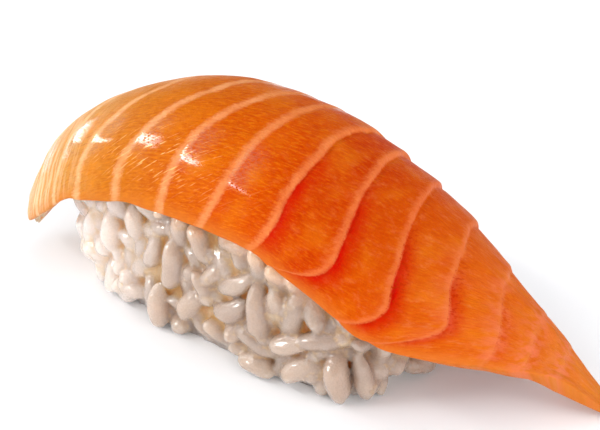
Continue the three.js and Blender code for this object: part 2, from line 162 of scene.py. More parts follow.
class Bench:
    """Makes one procedural material and the nodes in it."""

    def __init__(self, name: str) -> None:
        """Starts a material of this name with one main shader.

        Args:
            name: The material's name.
        """
        self.material = bpy.data.materials.new(name)
        self.material.use_nodes = True
        self.tree = self.material.node_tree
        self.shader = self.tree.nodes["Principled BSDF"]

    def feed(self, socket: bpy.types.NodeSocket, value: Any) -> None:
        """Links or sets one input socket.

        Args:
            socket: The input socket.
            value: A wrapped value to link, or a plain value to set.
        """
        if isinstance(value, Value):
            self.tree.links.new(value.socket, socket)
        elif isinstance(value, tuple) and socket.type == "RGBA":
            socket.default_value = (*value, 1.0)
        else:
            socket.default_value = value

    def node(
        self,
        kind: str,
        settings: dict[str, Any] | None = None,
        inputs: dict[str | int, Any] | None = None,
        output: str | int = 0,
    ) -> Value:
        """Adds a node.

        Args:
            kind: The node's type.
            settings: The node's own settings, set first. A ramp's stops pair places with colours.
            inputs: Plain values or links by socket name or number.
            output: The output socket to hand back.

        Returns:
            The output, wrapped.
        """
        node = self.tree.nodes.new(kind)
        for name, setting in (settings or {}).items():
            if name == "stops":
                self._set_stops(node.color_ramp, setting)
            else:
                setattr(node, name, setting)
        for name, value in (inputs or {}).items():
            self.feed(node.inputs[name], value)
        return Value(self, node.outputs[output])

    @staticmethod
    def _set_stops(ramp: bpy.types.ColorRamp, stops: Sequence[tuple[float, Colour]]) -> None:
        """Sets a ramp's stops.

        Args:
            ramp: The ramp.
            stops: Pairs of place and colour, in order.
        """
        while len(ramp.elements) < len(stops):
            ramp.elements.new(1.0)
        for element, (place, colour) in zip(ramp.elements, stops):
            element.position = place
            element.color = (*colour, 1.0)

    def sum(self, operation: str, first: Value | float, second: Value | float) -> Value:
        """Adds a Math node that works on two values."""
        return self.node("ShaderNodeMath", {"operation": operation}, {0: first, 1: second})

    def attribute(self, name: str, output: str = "Fac") -> Value:
        """Reads a value that is stored on the mesh."""
        return self.node("ShaderNodeAttribute", {"attribute_name": name}, None, output)

    def noise(self, place: Value, pattern: Pattern) -> Value:
        """Adds smooth noise from 0 to 1.

        Args:
            place: Where to read it.
            pattern: How fine and how rough it is.

        Returns:
            The noise.
        """
        factors = {0: place, 1: pattern.fineness}
        inputs = {
            "Vector": self.node("ShaderNodeVectorMath", {"operation": "MULTIPLY"}, factors),
            "Scale": 1.0,
            "Detail": pattern.detail,
            "Roughness": pattern.roughness,
        }
        return self.node("ShaderNodeTexNoise", None, inputs, "Fac")

    def blend(self, factor: Value | float, under: Any, over: Any, how: Blend = Blend.MIX) -> Value:
        """Lays a colour over another, as far as the factor says."""
        settings = {"data_type": "RGBA", "blend_type": how.value}
        return self.node("ShaderNodeMix", settings, {0: factor, 6: under, 7: over}, 2)

    def layered(self, colour: Any, layers: Sequence[tuple[Value, Any]]) -> Any:
        """Lays colours over one another.

        Args:
            colour: The lowest colour.
            layers: How far each further colour covers, and the colour, from the lowest up.

        Returns:
            The colour that shows.
        """
        for factor, over in layers:
            colour = self.blend(factor, colour, over)
        return colour

    def bump(self, height: Value, depth: float, under: Value | None = None) -> Value:
        """Turns a height from 0 to 1 into surface relief.

        Args:
            height: The height.
            depth: What a height of 1 stands for, in millimetres.
            under: The normal of the relief that this one lies on.

        Returns:
            The bent normal.
        """
        inputs = {"Distance": depth * MM, "Height": height}
        if under is not None:
            inputs["Normal"] = under
        return self.node("ShaderNodeBump", None, inputs, "Normal")

    def finish(self, sockets: dict[str, Any]) -> bpy.types.Material:
        """Feeds the main shader and hands the material over.

        Args:
            sockets: Plain values or links by socket name.

        Returns:
            The material.
        """
        for name, value in sockets.items():
            self.feed(self.shader.inputs[name], value)
        return self.material


# ---- Unevenness and meshes -----------------------------------------------------------------------


@dataclass(frozen=True)
class Unevenness:
    """Smooth random unevenness over a plane, the same on every run.

    Fields:
        seed: Picks the pattern.
        height: How far it goes up and down.
        fineness: Cells per unit, each way.
        start: The cell that it starts from, each way.
        cells: How many cells it has each way before it repeats.
    """

    seed: int
    height: float
    fineness: Pair
    start: Pair
    cells: int = 96

    def at(self, x: Array, y: Array) -> Array:
        """Reads the unevenness.

        Args:
            x: First place.
            y: Second place.

        Returns:
            Heights, up and down.
        """
        lattice = np.random.default_rng(self.seed).uniform(-1, 1, (self.cells, self.cells))
        x, y = x * self.fineness[0] + self.start[0], y * self.fineness[1] + self.start[1]
        column, row = np.floor(x).astype(int), np.floor(y).astype(int)
        f, g = eased(x - column, 0, 1), eased(y - row, 0, 1)
        left, right = column % self.cells, (column + 1) % self.cells
        low, high = row % self.cells, (row + 1) % self.cells
        bottom = lattice[left, low] * (1 - f) + lattice[right, low] * f
        top = lattice[left, high] * (1 - f) + lattice[right, high] * f
        return self.height * (bottom * (1 - g) + top * g)


def eased(x: Array, start: float, end: float) -> Array:
    """Eases from 0 at the start to 1 at the end, and the end may be the lower of the two."""
    share = np.clip((x - start) / (end - start), 0, 1)
    return share * share * (3 - 2 * share)


def hump(x: Array, middle: float | Array, spread: float | Array) -> Array:
    """Makes a smooth hump that is 1 in the middle."""
    return np.exp(-(((x - middle) / spread) ** 2))


def add_object(name: str, data: bpy.types.ID) -> bpy.types.Object:
    """Makes an object and links it to the scene.

    Args:
        name: The object's name.
        data: Its mesh, lamp or camera.

    Returns:
        The object.
    """
    thing = bpy.data.objects.new(name, data)
    bpy.context.scene.collection.objects.link(thing)
    return thing


def make_mesh(
    name: str, points: Array, faces: Array | list, material: bpy.types.Material
) -> bpy.types.Object:
    """Makes a smooth-shaded mesh object.

    Args:
        name: The object's name.
        points: Its points in millimetres, in the frame of the driving sizes.
        faces: Its faces as point numbers.
        material: Its finish.

    Returns:
        The object, linked to the scene.
    """
    mesh = bpy.data.meshes.new(name)
    corners = [list(map(int, face)) for face in faces]
    mesh.from_pydata(((points - MIDDLE) * MM).tolist(), [], corners)
    mesh.shade_smooth()
    mesh.materials.append(material)
    mesh.update()
    return add_object(name, mesh)


def store(thing: bpy.types.Object, name: str, values: Array) -> None:
    """Stores a value at each point of a mesh, for its finish to read.

    Args:
        thing: The object.
        name: The attribute's name.
        values: One number a point, or three.
    """
    vectors = values.ndim == 2
    kind, key = ("FLOAT_VECTOR", "vector") if vectors else ("FLOAT", "value")
    layer = thing.data.attributes.new(name, kind, "POINT")
    layer.data.foreach_set(key, values.astype(np.float32).ravel())


def tube_faces(rings: int, size: int) -> list[tuple[int, ...]]:
    """Joins closed rings of points into a skin that is capped at both ends.

    Args:
        rings: How many rings there are.
        size: How many points each has. A middle point for each end follows the last ring.

    Returns:
        The faces.
    """
    faces: list[tuple[int, ...]] = []
    for ring in range(rings - 1):
        start = ring * size
        for k in range(size):
            after = (k + 1) % size
            faces.append((start + k, start + size + k, start + size + after, start + after))
    last = (rings - 1) * size
    for k in range(size):
        after = (k + 1) % size
        faces.append((rings * size, k, after))
        faces.append((rings * size + 1, last + after, last + k))
    return faces


# ---- The slice of salmon -------------------------------------------------------------------------


@dataclass(frozen=True)
class Section:
    """A cross-section of the slice: its ridge, sweep and depth, and its hems' reach and drop."""

    x: float
    y: float
    z: float
    sweep: float
    depth: float
    front_reach: float
    front_drop: float
    back_reach: float
    back_drop: float


@dataclass(frozen=True)
class FatLine:
    """A line of fat across the slice.

    Fields:
        at: Where it crosses the ridge, in section steps.
        lean: How far it moves along the slice on the front shoulder.
        hook: How far it is pulled back at the front hem.
        step: Height of the ledge behind it.
        width: Width of the pale band.
        groove: How deep the cleft behind it is and how much painted shade it gets, from 0 to 1.
    """

    at: float
    lean: float
    hook: float
    step: float
    width: float
    groove: float


class Skin(Enum):
    """The two faces of the slice."""

    OUTER = 0
    UNDER = 1


@dataclass(frozen=True)
class Moist:
    """What the finishes of moist, slightly translucent food share."""

    specular: float
    coat_roughness: float
    coat_ior: float
    scatter: float
    scatter_reach: float
    scatter_colour: Colour

    def moisture(self) -> dict[str, Any]:
        """Lists the plain values that the main shader takes.

        Returns:
            The values by socket name.
        """
        return {
            "Coat Roughness": self.coat_roughness,
            "Coat IOR": self.coat_ior,
            "Specular IOR Level": self.specular,
            "Subsurface Weight": self.scatter,
            "Subsurface Radius": Vector(self.scatter_colour),
            "Subsurface Scale": self.scatter_reach * MM,
        }


@dataclass(frozen=True)
class SalmonFlesh(Moist):
    """Raw salmon: orange flesh in flakes, pale bands of fat and a wet surface, with painted shade
    in the clefts, painted highlight streaks and painted sheen patches.
    """

    flesh: tuple[tuple[float, Colour], ...] = (
        (0.0, srgb(208, 202, 184)),
        (0.12, srgb(197, 168, 124)),
        (0.2, srgb(191, 138, 72)),
        (0.28, srgb(188, 110, 28)),
        (0.38, srgb(192, 88, 4)),
        (0.46, srgb(193, 74, 0)),
        (0.53, srgb(184, 55, 0)),
        (0.62, srgb(191, 71, 2)),
        (0.72, srgb(201, 88, 14)),
        (0.82, srgb(206, 103, 30)),
        (0.92, srgb(210, 114, 40)),
        (1.0, srgb(216, 126, 44)),
    )
    fat: tuple[tuple[float, Colour], ...] = (
        (0.0, srgb(228, 206, 172)),
        (0.25, srgb(226, 168, 116)),
        (0.45, srgb(216, 126, 70)),
        (0.6, srgb(208, 104, 54)),
        (0.8, srgb(208, 114, 62)),
        (1.0, srgb(214, 142, 94)),
    )
    bright: Colour = srgb(220, 128, 20)
    deep: Colour = (0.8, 0.5, 0.3)
    # Painted shade: the dark red laid into the cleft behind each line of fat.
    cleft: Colour = srgb(184, 14, 0)
    hem: Colour = srgb(204, 116, 44)
    # Painted highlight: the pale gold streaks of wet fibres that glint near the glints.
    streak_highlight: Colour = srgb(255, 208, 134)
    pit: Colour = srgb(172, 40, 0)
    # Painted sheen: the pale pinkish patches on the tail half.
    painted_sheen: Colour = srgb(218, 116, 84)
    dry_roughness: float = 0.5
    wet_roughness: float = 0.3
    specular: float = 0.02
    coat_roughness: float = 0.12
    coat_ior: float = 1.9
    scatter: float = 0.25
    scatter_reach: float = 0.9
    scatter_colour: Colour = (1.0, 0.35, 0.12)
    fibre_depth: float = 0.05
    film_depth: float = 0.11
    line_raggedness: Pair = (0.7, 1.2)
    past_wander: float = 0.5
    film_mix: Pair = (0.6, 0.4)
    wet_mix: Pair = (0.55, 0.45)

    wander: Pattern = Pattern((0.8, 0.8, 0.8))
    ragged: Pattern = Pattern((2.2, 2.2, 2.2), 3.0, 0.7)
    fibres: Pattern = Pattern((0.9, 3.8, 1.0), 3.0, 0.65)
    strands: Pattern = Pattern((0.12, 0.9, 1.0), 3.0, 0.6)
    streaks: Pattern = Pattern((1.3, 0.14, 1.0), 3.0, 0.6)
    mottle: Pattern = Pattern((0.2, 0.2, 0.2))
    cloud: Pattern = Pattern((0.6, 0.9, 1.0), 4.0, 0.65)
    fleck: Pattern = Pattern((1.9, 1.9, 1.9), 2.0, 0.6)
    grit: Pattern = Pattern((4.5, 4.5, 4.5), 1.0)
    patches: Pattern = Pattern((0.34, 0.34, 0.34), 2.0)
    fat_flow: Pattern = Pattern((0.5, 0.5, 0.5))
    highlight_streaks: Pattern = Pattern((0.5, 4.4, 1.0), 2.0)
    beads: Pattern = Pattern((2.6, 5.0, 1.0))

    dark_strands: Ease = Ease(0.52, 0.32, 0.2)
    dark_clouds: Ease = Ease(0.5, 0.3, 0.3)
    pale_clouds: Ease = Ease(0.5, 0.7, 0.55)
    clouds_along: Ease = Ease(0.38, 0.7)
    dark_fibres: Ease = Ease(0.5, 0.34, 0.6)
    bright_fibres: Ease = Ease(0.5, 0.66, 0.35)
    fainter_fibres: Ease = Ease(0.42, 0.6, 0.5)
    bright_mottle: Ease = Ease(0.45, 0.75, 0.3)
    thin_end: Ease = Ease(0.28, 0.12)
    pale_streaks: Ease = Ease(0.47, 0.59, 0.85)
    bright_streaks: Ease = Ease(0.47, 0.35, 0.75)
    painted_cleft_shade: Ease = Ease(2.9, 0.2, 2.1)
    pale_hem: Ease = Ease(0.84, 1.0, 0.6)
    band_edge: Pair = (1.1, 0.1)
    band_fibres: Pair = (0.45, 0.8)
    band_flow: Pair = (0.25, 1.3)
    fainter_bands: Ease = Ease(0.6, 0.85, 0.5)
    pale_specks: Ease = Ease(0.05, 0.3, 0.2)
    painted_sheen_patches: Ease = Ease(0.42, 0.58, 0.6)
    patches_along: Ease = Ease(0.62, 0.85)
    patch_edge: Pair = (3.4, 0.6)
    patch_share: Pair = (0.2, 0.8)
    painted_highlight_streaks: Ease = Ease(0.57, 0.7, 0.7)
    dark_pits: Ease = Ease(0.48, 0.38, 0.85)
    pits_behind_line: Ease = Ease(2.6, 0.6)
    wetness: Ease = Ease(0.38, 0.62)
    bead_edge: Ease = Ease(0.4, 0.5)
    belt_below: Ease = Ease(0.26, 0.4)
    belt_above: Ease = Ease(0.67, 0.58)
    pools_behind_line: Ease = Ease(4.0, 1.0)
    pools_along: Ease = Ease(0.49, 0.43)

    def material(self) -> bpy.types.Material:
        """Makes the finish.

        Returns:
            The material.
        """
        bench = Bench("salmon_flesh")
        place = bench.attribute("flesh", "Vector")
        along, hem, width = (bench.attribute(name) for name in ("along", "hem", "fat_width"))
        wander = bench.noise(place, self.wander) - 0.5
        ragged = bench.noise(place, self.ragged) - 0.5
        near = bench.attribute("line_gap") + mixed(self.line_raggedness, wander, ragged)
        past = bench.attribute("past_line") + self.past_wander * wander
        fibres = bench.noise(place, self.fibres)
        streaks = bench.noise(place, self.streaks)
        mottle = bench.noise(place, self.mottle)
        cloud = bench.noise(place, self.cloud)
        fleck = bench.noise(place, self.fleck)
        flesh = bench.node("ShaderNodeValToRGB", {"stops": self.flesh}, {"Fac": along})
        pale = bench.node("ShaderNodeValToRGB", {"stops": self.fat}, {"Fac": along})
        deep = bench.blend(1.0, flesh, self.deep, Blend.MULTIPLY)
        grain = 1 - along.shown(self.fainter_fibres)
        thin_end = along.shown(self.thin_end)
        # Painted shade in the clefts behind the lines of fat, on the front shoulder.
        cleft = past.shown(self.painted_cleft_shade) * bench.attribute("groove") * bench.attribute("shoulder")
        band = near.rise(*(width * share for share in self.band_edge))
        flow = bench.noise(place, self.fat_flow)
        for (least, more), cover in ((self.band_fibres, fibres), (self.band_flow, flow)):
            band = band * (least + more * cover)
        # Painted sheen in pale patches on the tail half, strongest beside the lines of fat.
        by_line = near.rise(*(width * share for share in self.patch_edge))
        patches = bench.noise(place, self.patches).shown(self.painted_sheen_patches)
        patches = patches * along.shown(self.patches_along)
        # Painted highlight streaks on the front shoulder, beside the glints.
        highlight_streaks = bench.noise(bench.attribute("highlight_streak_place", "Vector"), self.highlight_streaks)
        pitted = bench.attribute("pitted") * past.shown(self.pits_behind_line)
        colour = bench.layered(flesh, (
            (bench.noise(place, self.strands).shown(self.dark_strands), deep),
            (cloud.shown(self.dark_clouds), deep),
            (cloud.shown(self.pale_clouds) * along.shown(self.clouds_along), pale),
            (fibres.shown(self.dark_fibres) * grain, deep),
            (fibres.shown(self.bright_fibres) * grain, self.bright),
            (mottle.shown(self.bright_mottle), self.bright),
            (streaks.shown(self.pale_streaks) * thin_end, pale),
            (streaks.shown(self.bright_streaks) * thin_end, self.bright),
            (cleft * mottle, self.cleft),
            (hem.shown(self.pale_hem), self.hem),
            (band * (1 - along.shown(self.fainter_bands)), pale),
            (ragged.shown(self.pale_specks), pale),
            (patches * (self.patch_share[0] + self.patch_share[1] * by_line), self.painted_sheen),
            (highlight_streaks.shown(self.painted_highlight_streaks) * bench.attribute("highlight_streaked"), self.streak_highlight),
            (fleck.shown(self.dark_pits) * pitted, self.pit),
        ))
        film = mixed(self.film_mix, fleck, bench.noise(place, self.grit))
        wetness = mixed(self.wet_mix, mottle, fleck).shown(self.wetness)
        belt = hem.shown(self.belt_below) * hem.shown(self.belt_above)
        pools = past.shown(self.pools_behind_line) * along.shown(self.pools_along) * belt
        return bench.finish({
            "Base Color": colour,
            "Roughness": self.dry_roughness - (self.dry_roughness - self.wet_roughness) * wetness,
            "Normal": bench.bump(film, self.film_depth, bench.bump(fibres, self.fibre_depth)),
            "Coat Weight": bench.noise(place, self.beads).shown(self.bead_edge) * pools,
            **self.moisture(),
        })


@dataclass
class SalmonSlice:
    """The slice: a domed strip with ledges across it, a pointed tail and a rounded blunt end."""

    sections: tuple[Section, ...] = (
        Section(-34.9, -3.4, 3.4, 80, 0.8, 2.0, -1.0, 2.8, 0.8),
        Section(-30.5, -1.3, 16.2, 90, 3.2, 6.8, 9.4, 8.2, 6.0),
        Section(-21.5, -0.7, 23.3, 90, 4.6, 10.4, 9.6, 14.0, 9.8),
        Section(-10.1, -0.1, 27.2, 90, 5.2, 11.6, 10.8, 15.0, 11.0),
        Section(2.9, 0.9, 26.6, 90, 5.2, 13.4, 9.9, 14.0, 11.2),
        Section(13.8, 1.1, 22.3, 90, 4.8, 14.6, 8.5, 12.8, 10.0),
        Section(23.0, 1.0, 17.2, 85, 3.8, 14.4, 6.9, 10.2, 7.2),
        Section(33.5, 1.5, 10.9, 65, 2.0, 7.5, 3.5, 4.8, 4.8),
        Section(38.2, 1.95, 6.6, 55, 3.2, 3.8, 0.9, 2.9, 2.6),
        Section(43.4, 2.2, 1.5, 45, 0.9, 0.6, 0.3, 0.9, 0.6),
    )
    lines: tuple[FatLine, ...] = (
        FatLine(1.04, 0.1, 0.0, 0.0, 0.6, 0.0),
        FatLine(1.94, -0.28, 0.0, 0.0, 0.65, 0.0),
        FatLine(2.55, -0.42, 0.0, 0.0, 0.8, 0.0),
        FatLine(3.17, -0.48, 0.0, 0.05, 0.85, 0.0),
        FatLine(3.59, -0.32, 0.05, 0.05, 0.95, 0.15),
        FatLine(3.98, -0.15, 0.18, 0.1, 0.95, 0.3),
        FatLine(4.47, -0.02, 0.24, 0.2, 1.05, 0.9),
        FatLine(4.98, 0.23, 0.74, 0.5, 1.0, 1.0),
        FatLine(5.57, 0.38, 0.54, 0.4, 0.9, 0.9),
        FatLine(6.16, 0.29, 0.64, 0.4, 0.85, 0.6),
        FatLine(6.64, 0.23, 0.09, 0.3, 0.8, 0.3),
        FatLine(7.17, 0.15, 0.0, 0.15, 0.8, 0.2),
        FatLine(7.93, 0.12, 0.05, 0.05, 0.7, 0.1),
    )
    hem_thickness: float = 1.9
    hem_share: float = 0.4
    upright_cut_at: float = 25.0
    rounded_end: float = 0.7
    lean_shoulder: float = 0.6
    lean_behind: float = 0.7
    lean_easing: float = 0.4
    ledge_below: float = 0.35
    ledge_at_ridge: float = 0.55
    ledge_rise: float = 0.9
    ledge_in_front: float = 0.2
    first_ring: float = 0.02
    last_ring: float = 13.95
    rings_in_flake: int = 34
    ring_crowding: float = 0.6
    top_points: int = 120
    under_points: int = 34
    hem_points: int = 6
    hem_roundings: int = 3
    hem_corner_points: int = 4
    ledge_easings: int = 24
    girth: float = 18.0
    section_step: float = 12.0
    far: float = 20.0
    end_width: float = 0.6
    patchy_ledges: Unevenness = Unevenness(3, 0.3, (2.3, 1 / 3.1), (40, 40))
    torn_clefts: Unevenness = Unevenness(5, 0.5, (3.7, 1 / 0.9), (9, 50))
    swell: Unevenness = Unevenness(7, 0.2, (1 / 7.5, 1 / 6.0), (30, 30))
    dents: Unevenness = Unevenness(8, 0.06, (1 / 2.4, 1 / 1.9), (30, 30))
    scallops: Unevenness = Unevenness(11, 0.02, (1.9, 1.0), (20, 5))
    wiggle: Unevenness = Unevenness(13, 0.02, (1.3, 6.0), (10, 10))
    calm_start: Pair = (0.0, 0.8)
    calm_end: Pair = (1.1, 1.6)
    fat_rise: float = 0.02
    fat_middle: Pair = (0.5, 0.45)
    cleft_depth: float = 0.3
    cleft_middle: Pair = (0.3, 0.3)
    notch_depth: float = 0.035
    notch_spread: float = 0.12
    relief_fade: float = 6.0
    relief_end: float = 1.05
    relief_reach: Pair = (0.3, 3.0)
    fibre_lean: float = 0.2
    shoulder_front: Pair = (0.0, 0.4)
    shoulder_foot: Pair = (0.8, 1.0)
    shoulder_loss: float = 0.6
    groove_shade: float = 2.0
    # Where the painted highlight streaks lie: along the slice, then across it.
    highlight_streaked: tuple[Pair, Pair] = ((3.05, 0.7), (-0.6, 0.17))
    highlight_streak_turn: float = 0.75
    pitted: tuple[Pair, Pair] = ((6.0, 0.9), (-0.45, 0.4))
    finish: SalmonFlesh = field(default_factory=SalmonFlesh)

    def __post_init__(self) -> None:
        """Lines up the sections and the lines of fat as tables."""
        self.columns = {each.name: number for number, each in enumerate(fields(Section))}
        self.table = np.array([astuple(section) for section in self.sections], float)
        self.last = len(self.sections) - 1
        start, end = (FatLine(at, 0, 0, 0, self.end_width, 0) for at in (0, self.last))
        self.edges = (start, *self.lines, end)

    def section(self, t: Array) -> dict[str, Array]:
        """Reads the cross-section at places along the slice.

        Args:
            t: The places, in section steps from the blunt end.

        Returns:
            Each field of the section, with how upright its hem is and how far its end is rounded.
        """
        index = np.clip(np.floor(t).astype(int), 0, self.last - 1)
        f = (t - index)[..., None]
        b, c = self.table[index], self.table[index + 1]
        a = np.where((index > 0)[..., None], self.table[np.maximum(index - 1, 0)], 2 * b - c)
        after = self.table[np.minimum(index + 2, self.last)]
        d = np.where((index < self.last - 1)[..., None], after, 2 * c - b)
        bend, twist = 2 * a - 5 * b + 4 * c - d, 3 * b - a - 3 * c + d
        rows = 0.5 * (2 * b + (c - a) * f + bend * f**2 + twist * f**3)
        section = {name: rows[..., number] for name, number in self.columns.items()}
        section["upright"] = np.clip((90 - section["sweep"]) / self.upright_cut_at, 0, 1)
        end = np.clip(t / self.rounded_end, 0, 1)
        section["rounding"] = np.sqrt(1 - (1 - end) ** 2)
        return section

    def surface(self, t: Array, v: Array, skin: Skin) -> Array:
        """Reads points of the slice's surface.

        Args:
            t: Places along the slice.
            v: Places across it: -1 at the front hem, 0 on the ridge, 1 at the back hem.
            skin: Which face.

        Returns:
            The points.
        """
        s = self.section(t)
        front = v < 0
        full_reach = np.where(front, s["front_reach"], s["back_reach"]) * s["rounding"]
        full_drop = np.where(front, s["front_drop"], s["back_drop"])
        depth = s["depth"] * skin.value
        thickness = np.minimum(self.hem_thickness, self.hem_share * full_reach)
        reach = full_reach - skin.value * thickness
        drop = full_drop - depth * (1 - s["upright"])
        sweep = np.radians(s["sweep"])
        angle = np.abs(v) * sweep
        y = s["y"] + np.sign(v) * reach * np.sin(angle) / np.sin(sweep)
        z = s["z"] - depth - drop * (1 - np.cos(angle)) / (1 - np.cos(sweep))
        return np.stack([s["x"], y, z], axis=-1)

    def outward(self, t: Array, v: Array) -> Array:
        """Reads the straight way out of the outer face.

        Args:
            t: Places along the slice.
            v: Places across it.

        Returns:
            Unit vectors.
        """
        nudge, face = 0.01, Skin.OUTER
        inner = np.clip(t, nudge, self.last - nudge)
        along = self.surface(inner + nudge, v, face) - self.surface(inner - nudge, v, face)
        across = self.surface(inner, v + nudge, face) - self.surface(inner, v - nudge, face)
        normal = np.cross(along, across)
        return normal / np.linalg.norm(normal, axis=-1, keepdims=True)

    def line_field(self, name: str, w: Array) -> Array:
        """Reads a field of the lines of fat at flake coordinates, also between the lines."""
        values = [getattr(line, name) for line in self.edges]
        return np.interp(w, np.arange(len(values)), values)

    def along(self, w: Array, v: Array) -> Array:
        """Finds where a flake coordinate lies along the slice.

        Args:
            w: Flake coordinates.
            v: Places across the slice.

        Returns:
            Places along the slice.
        """
        ease, front = self.lean_easing, -v / self.lean_shoulder
        corner = np.clip(front - 1 + ease, 0, 2 * ease)
        front_lean = np.minimum(front, 1 + ease) - corner**2 / (4 * ease)
        shoulder = np.where(v < 0, front_lean, -self.lean_behind * v / self.lean_shoulder)
        past = np.maximum(0, (-v - self.lean_shoulder) / (1 - self.lean_shoulder))
        hook = self.line_field("hook", w) * past**2
        place = self.line_field("at", w) + self.line_field("lean", w) * shoulder - hook
        return np.clip(place, 0, self.last)

    def flake_relief(self, w: Array, v: Array) -> Array:
        """Reads how far each flake climbs to the line of fat where it ends in a ledge.

        Args:
            w: Flake coordinates.
            v: Places across the slice.

        Returns:
            Heights over the plain surface.
        """
        steps = np.array([line.step for line in self.edges])
        index = np.clip(np.floor(w).astype(int), 0, len(steps) - 2)
        f = w - index
        climb = steps[index + 1] * (f**2 - self.ledge_below)
        foot = steps[index] * self.ledge_below * (1 - f) ** 2
        share = np.clip(self.ledge_at_ridge + self.ledge_rise * v, self.ledge_in_front, 1)
        return share * (climb - foot)

    def ring_places(self) -> Array:
        """Spreads the rings: close together at the lines of fat, and one on each line.

        Returns:
            Flake coordinates of the rings.
        """
        share = np.arange(self.rings_in_flake) / self.rings_in_flake
        share = share - self.ring_crowding * np.sin(2 * np.pi * share) / (2 * np.pi)
        flakes = np.arange(len(self.edges) - 1)
        places = (flakes[:, None] + share[None, :]).ravel()
        inner = places[(places > self.first_ring) & (places < self.last_ring)]
        return np.concatenate([[self.first_ring], inner, [self.last_ring]])

    def columns_round(self) -> tuple[Array, Array]:
        """Lays out one ring's points: over the top, round the back hem, under, round the front hem.

        Returns:
            The places across the slice, and how far each point is on its way to the under face.
        """
        top = np.linspace(-1, 1, self.top_points + 1)
        under = np.linspace(1, -1, self.under_points + 1)
        steps = np.arange(1, self.hem_points + 1) / (self.hem_points + 1)
        across = np.concatenate([top, np.ones(self.hem_points), under, -np.ones(self.hem_points)])
        share = np.concatenate([np.zeros_like(top), steps, np.ones_like(under), steps[::-1]])
        return across, share

    def _gaps(self, w: Array, points: Array) -> tuple[Array, Array]:
        """Measures how far each point is past the last line of fat and before the next one.

        Args:
            w: Flake coordinates of the rings.
            points: The rings' points.

        Returns:
            The distances past the last line, and those before the next line.
        """
        steps = np.linalg.norm(np.diff(points, axis=0), axis=-1)
        travelled = np.vstack([np.zeros(points.shape[1]), np.cumsum(steps, axis=0)])
        lines = [int(np.argmin(np.abs(w - number))) for number in range(1, len(self.edges) - 1)]
        before, after = travelled[:1] - self.far, travelled[-1:] + self.far
        at_lines = np.vstack([before, travelled[lines], after])
        flake = np.searchsorted(np.array(lines), np.arange(len(w)), side="right")
        return travelled - at_lines[flake], at_lines[flake + 1] - travelled

    def _relief(self, w: Array, v: Array, t: Array, past: Array, before: Array) -> Array:
        """Works out the relief of the outer face.

        Args:
            w: Flake coordinates.
            v: Places across the slice.
            t: Places along the slice.
            past: Distances past the last line of fat.
            before: Distances before the next line of fat.

        Returns:
            Heights over the plain surface.
        """
        s, c = t * self.section_step, v * self.girth
        ledges = self.flake_relief(w, v) * (1 + self.patchy_ledges.at(w, c))
        for _ in range(self.ledge_easings):
            ledges[1:-1] = 0.5 * ledges[1:-1] + 0.25 * (ledges[:-2] + ledges[2:])
        ridge = self.fat_rise * hump(before / self.line_field("width", w), *self.fat_middle)
        torn = 0.5 + self.torn_clefts.at(w, c)
        cleft = self.cleft_depth * torn * hump(past, *self.cleft_middle)
        cleft = cleft * self.line_field("groove", w)
        return ledges + ridge - cleft + self.swell.at(s, c) + self.dents.at(s, c)

    def build(self) -> bpy.types.Object:
        """Builds and dresses the slice.

        Returns:
            The object.
        """
        rings = self.ring_places()
        across, share = self.columns_round()
        w, v = np.meshgrid(rings, across, indexing="ij")
        notch = self.notch_depth * hump(w, np.round(w), self.notch_spread)
        v_shown = v * (1 + self.scallops.at(w, np.sign(v)) - notch * self.line_field("step", w))
        calm_end = len(self.edges) - np.array(self.calm_end)
        calm = eased(w, *self.calm_start) * eased(w, *calm_end)
        t = np.clip(self.along(w, v) + self.wiggle.at(w, v) * calm, 0, self.last)
        outer = self.surface(t, v_shown, Skin.OUTER)
        under = self.surface(t, v_shown, Skin.UNDER)
        past, before = self._gaps(rings, outer)
        height = self._relief(w, v, t, past, before)
        height *= np.minimum(1, self.relief_fade * (self.relief_end - np.abs(v)))
        height *= eased(self.section(t)["front_reach"], *self.relief_reach)
        outer = outer + self.outward(t, v_shown) * height[..., None]
        points = outer * (1 - share[None, :, None]) + under * share[None, :, None]
        points = self._round_hems(points)
        caps = np.stack([points[0].mean(axis=0), points[-1].mean(axis=0)])
        every = np.vstack([points.reshape(-1, 3), caps])
        thing = make_mesh("salmon", every, tube_faces(*w.shape), self.finish.material())
        self._dress(thing, w, v, t, (past, before))
        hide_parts("salmon_slice")
        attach(thing, "root")
        return thing

    def _round_hems(self, points: Array) -> Array:
        """Rounds the corners of the hems by easing each ring's points near them.

        Args:
            points: The rings.

        Returns:
            The eased rings.
        """
        size, near = points.shape[1], self.hem_corner_points
        back, front = self.top_points, size - self.hem_points - 1
        picked = np.concatenate([
            np.arange(back - near, back + self.hem_points + near + 2),
            np.arange(front - near, size + near + 1),
        ]) % size
        for _ in range(self.hem_roundings):
            beside = points[:, (picked - 1) % size] + points[:, (picked + 1) % size]
            points[:, picked] = 0.5 * points[:, picked] + 0.25 * beside
        return points

    def _dress(
        self, thing: bpy.types.Object, w: Array, v: Array, t: Array, gaps: tuple[Array, Array]
    ) -> None:
        """Stores what the flesh's finish reads.

        Args:
            thing: The slice.
            w: Flake coordinates.
            v: Places across the slice.
            t: Places along it.
            gaps: Distances past the last line of fat and before the next one.
        """

        def with_caps(values: Array) -> Array:
            """Adds a value for the middle point of each end."""
            return np.concatenate([values.ravel(), [values[0].mean(), values[-1].mean()]])

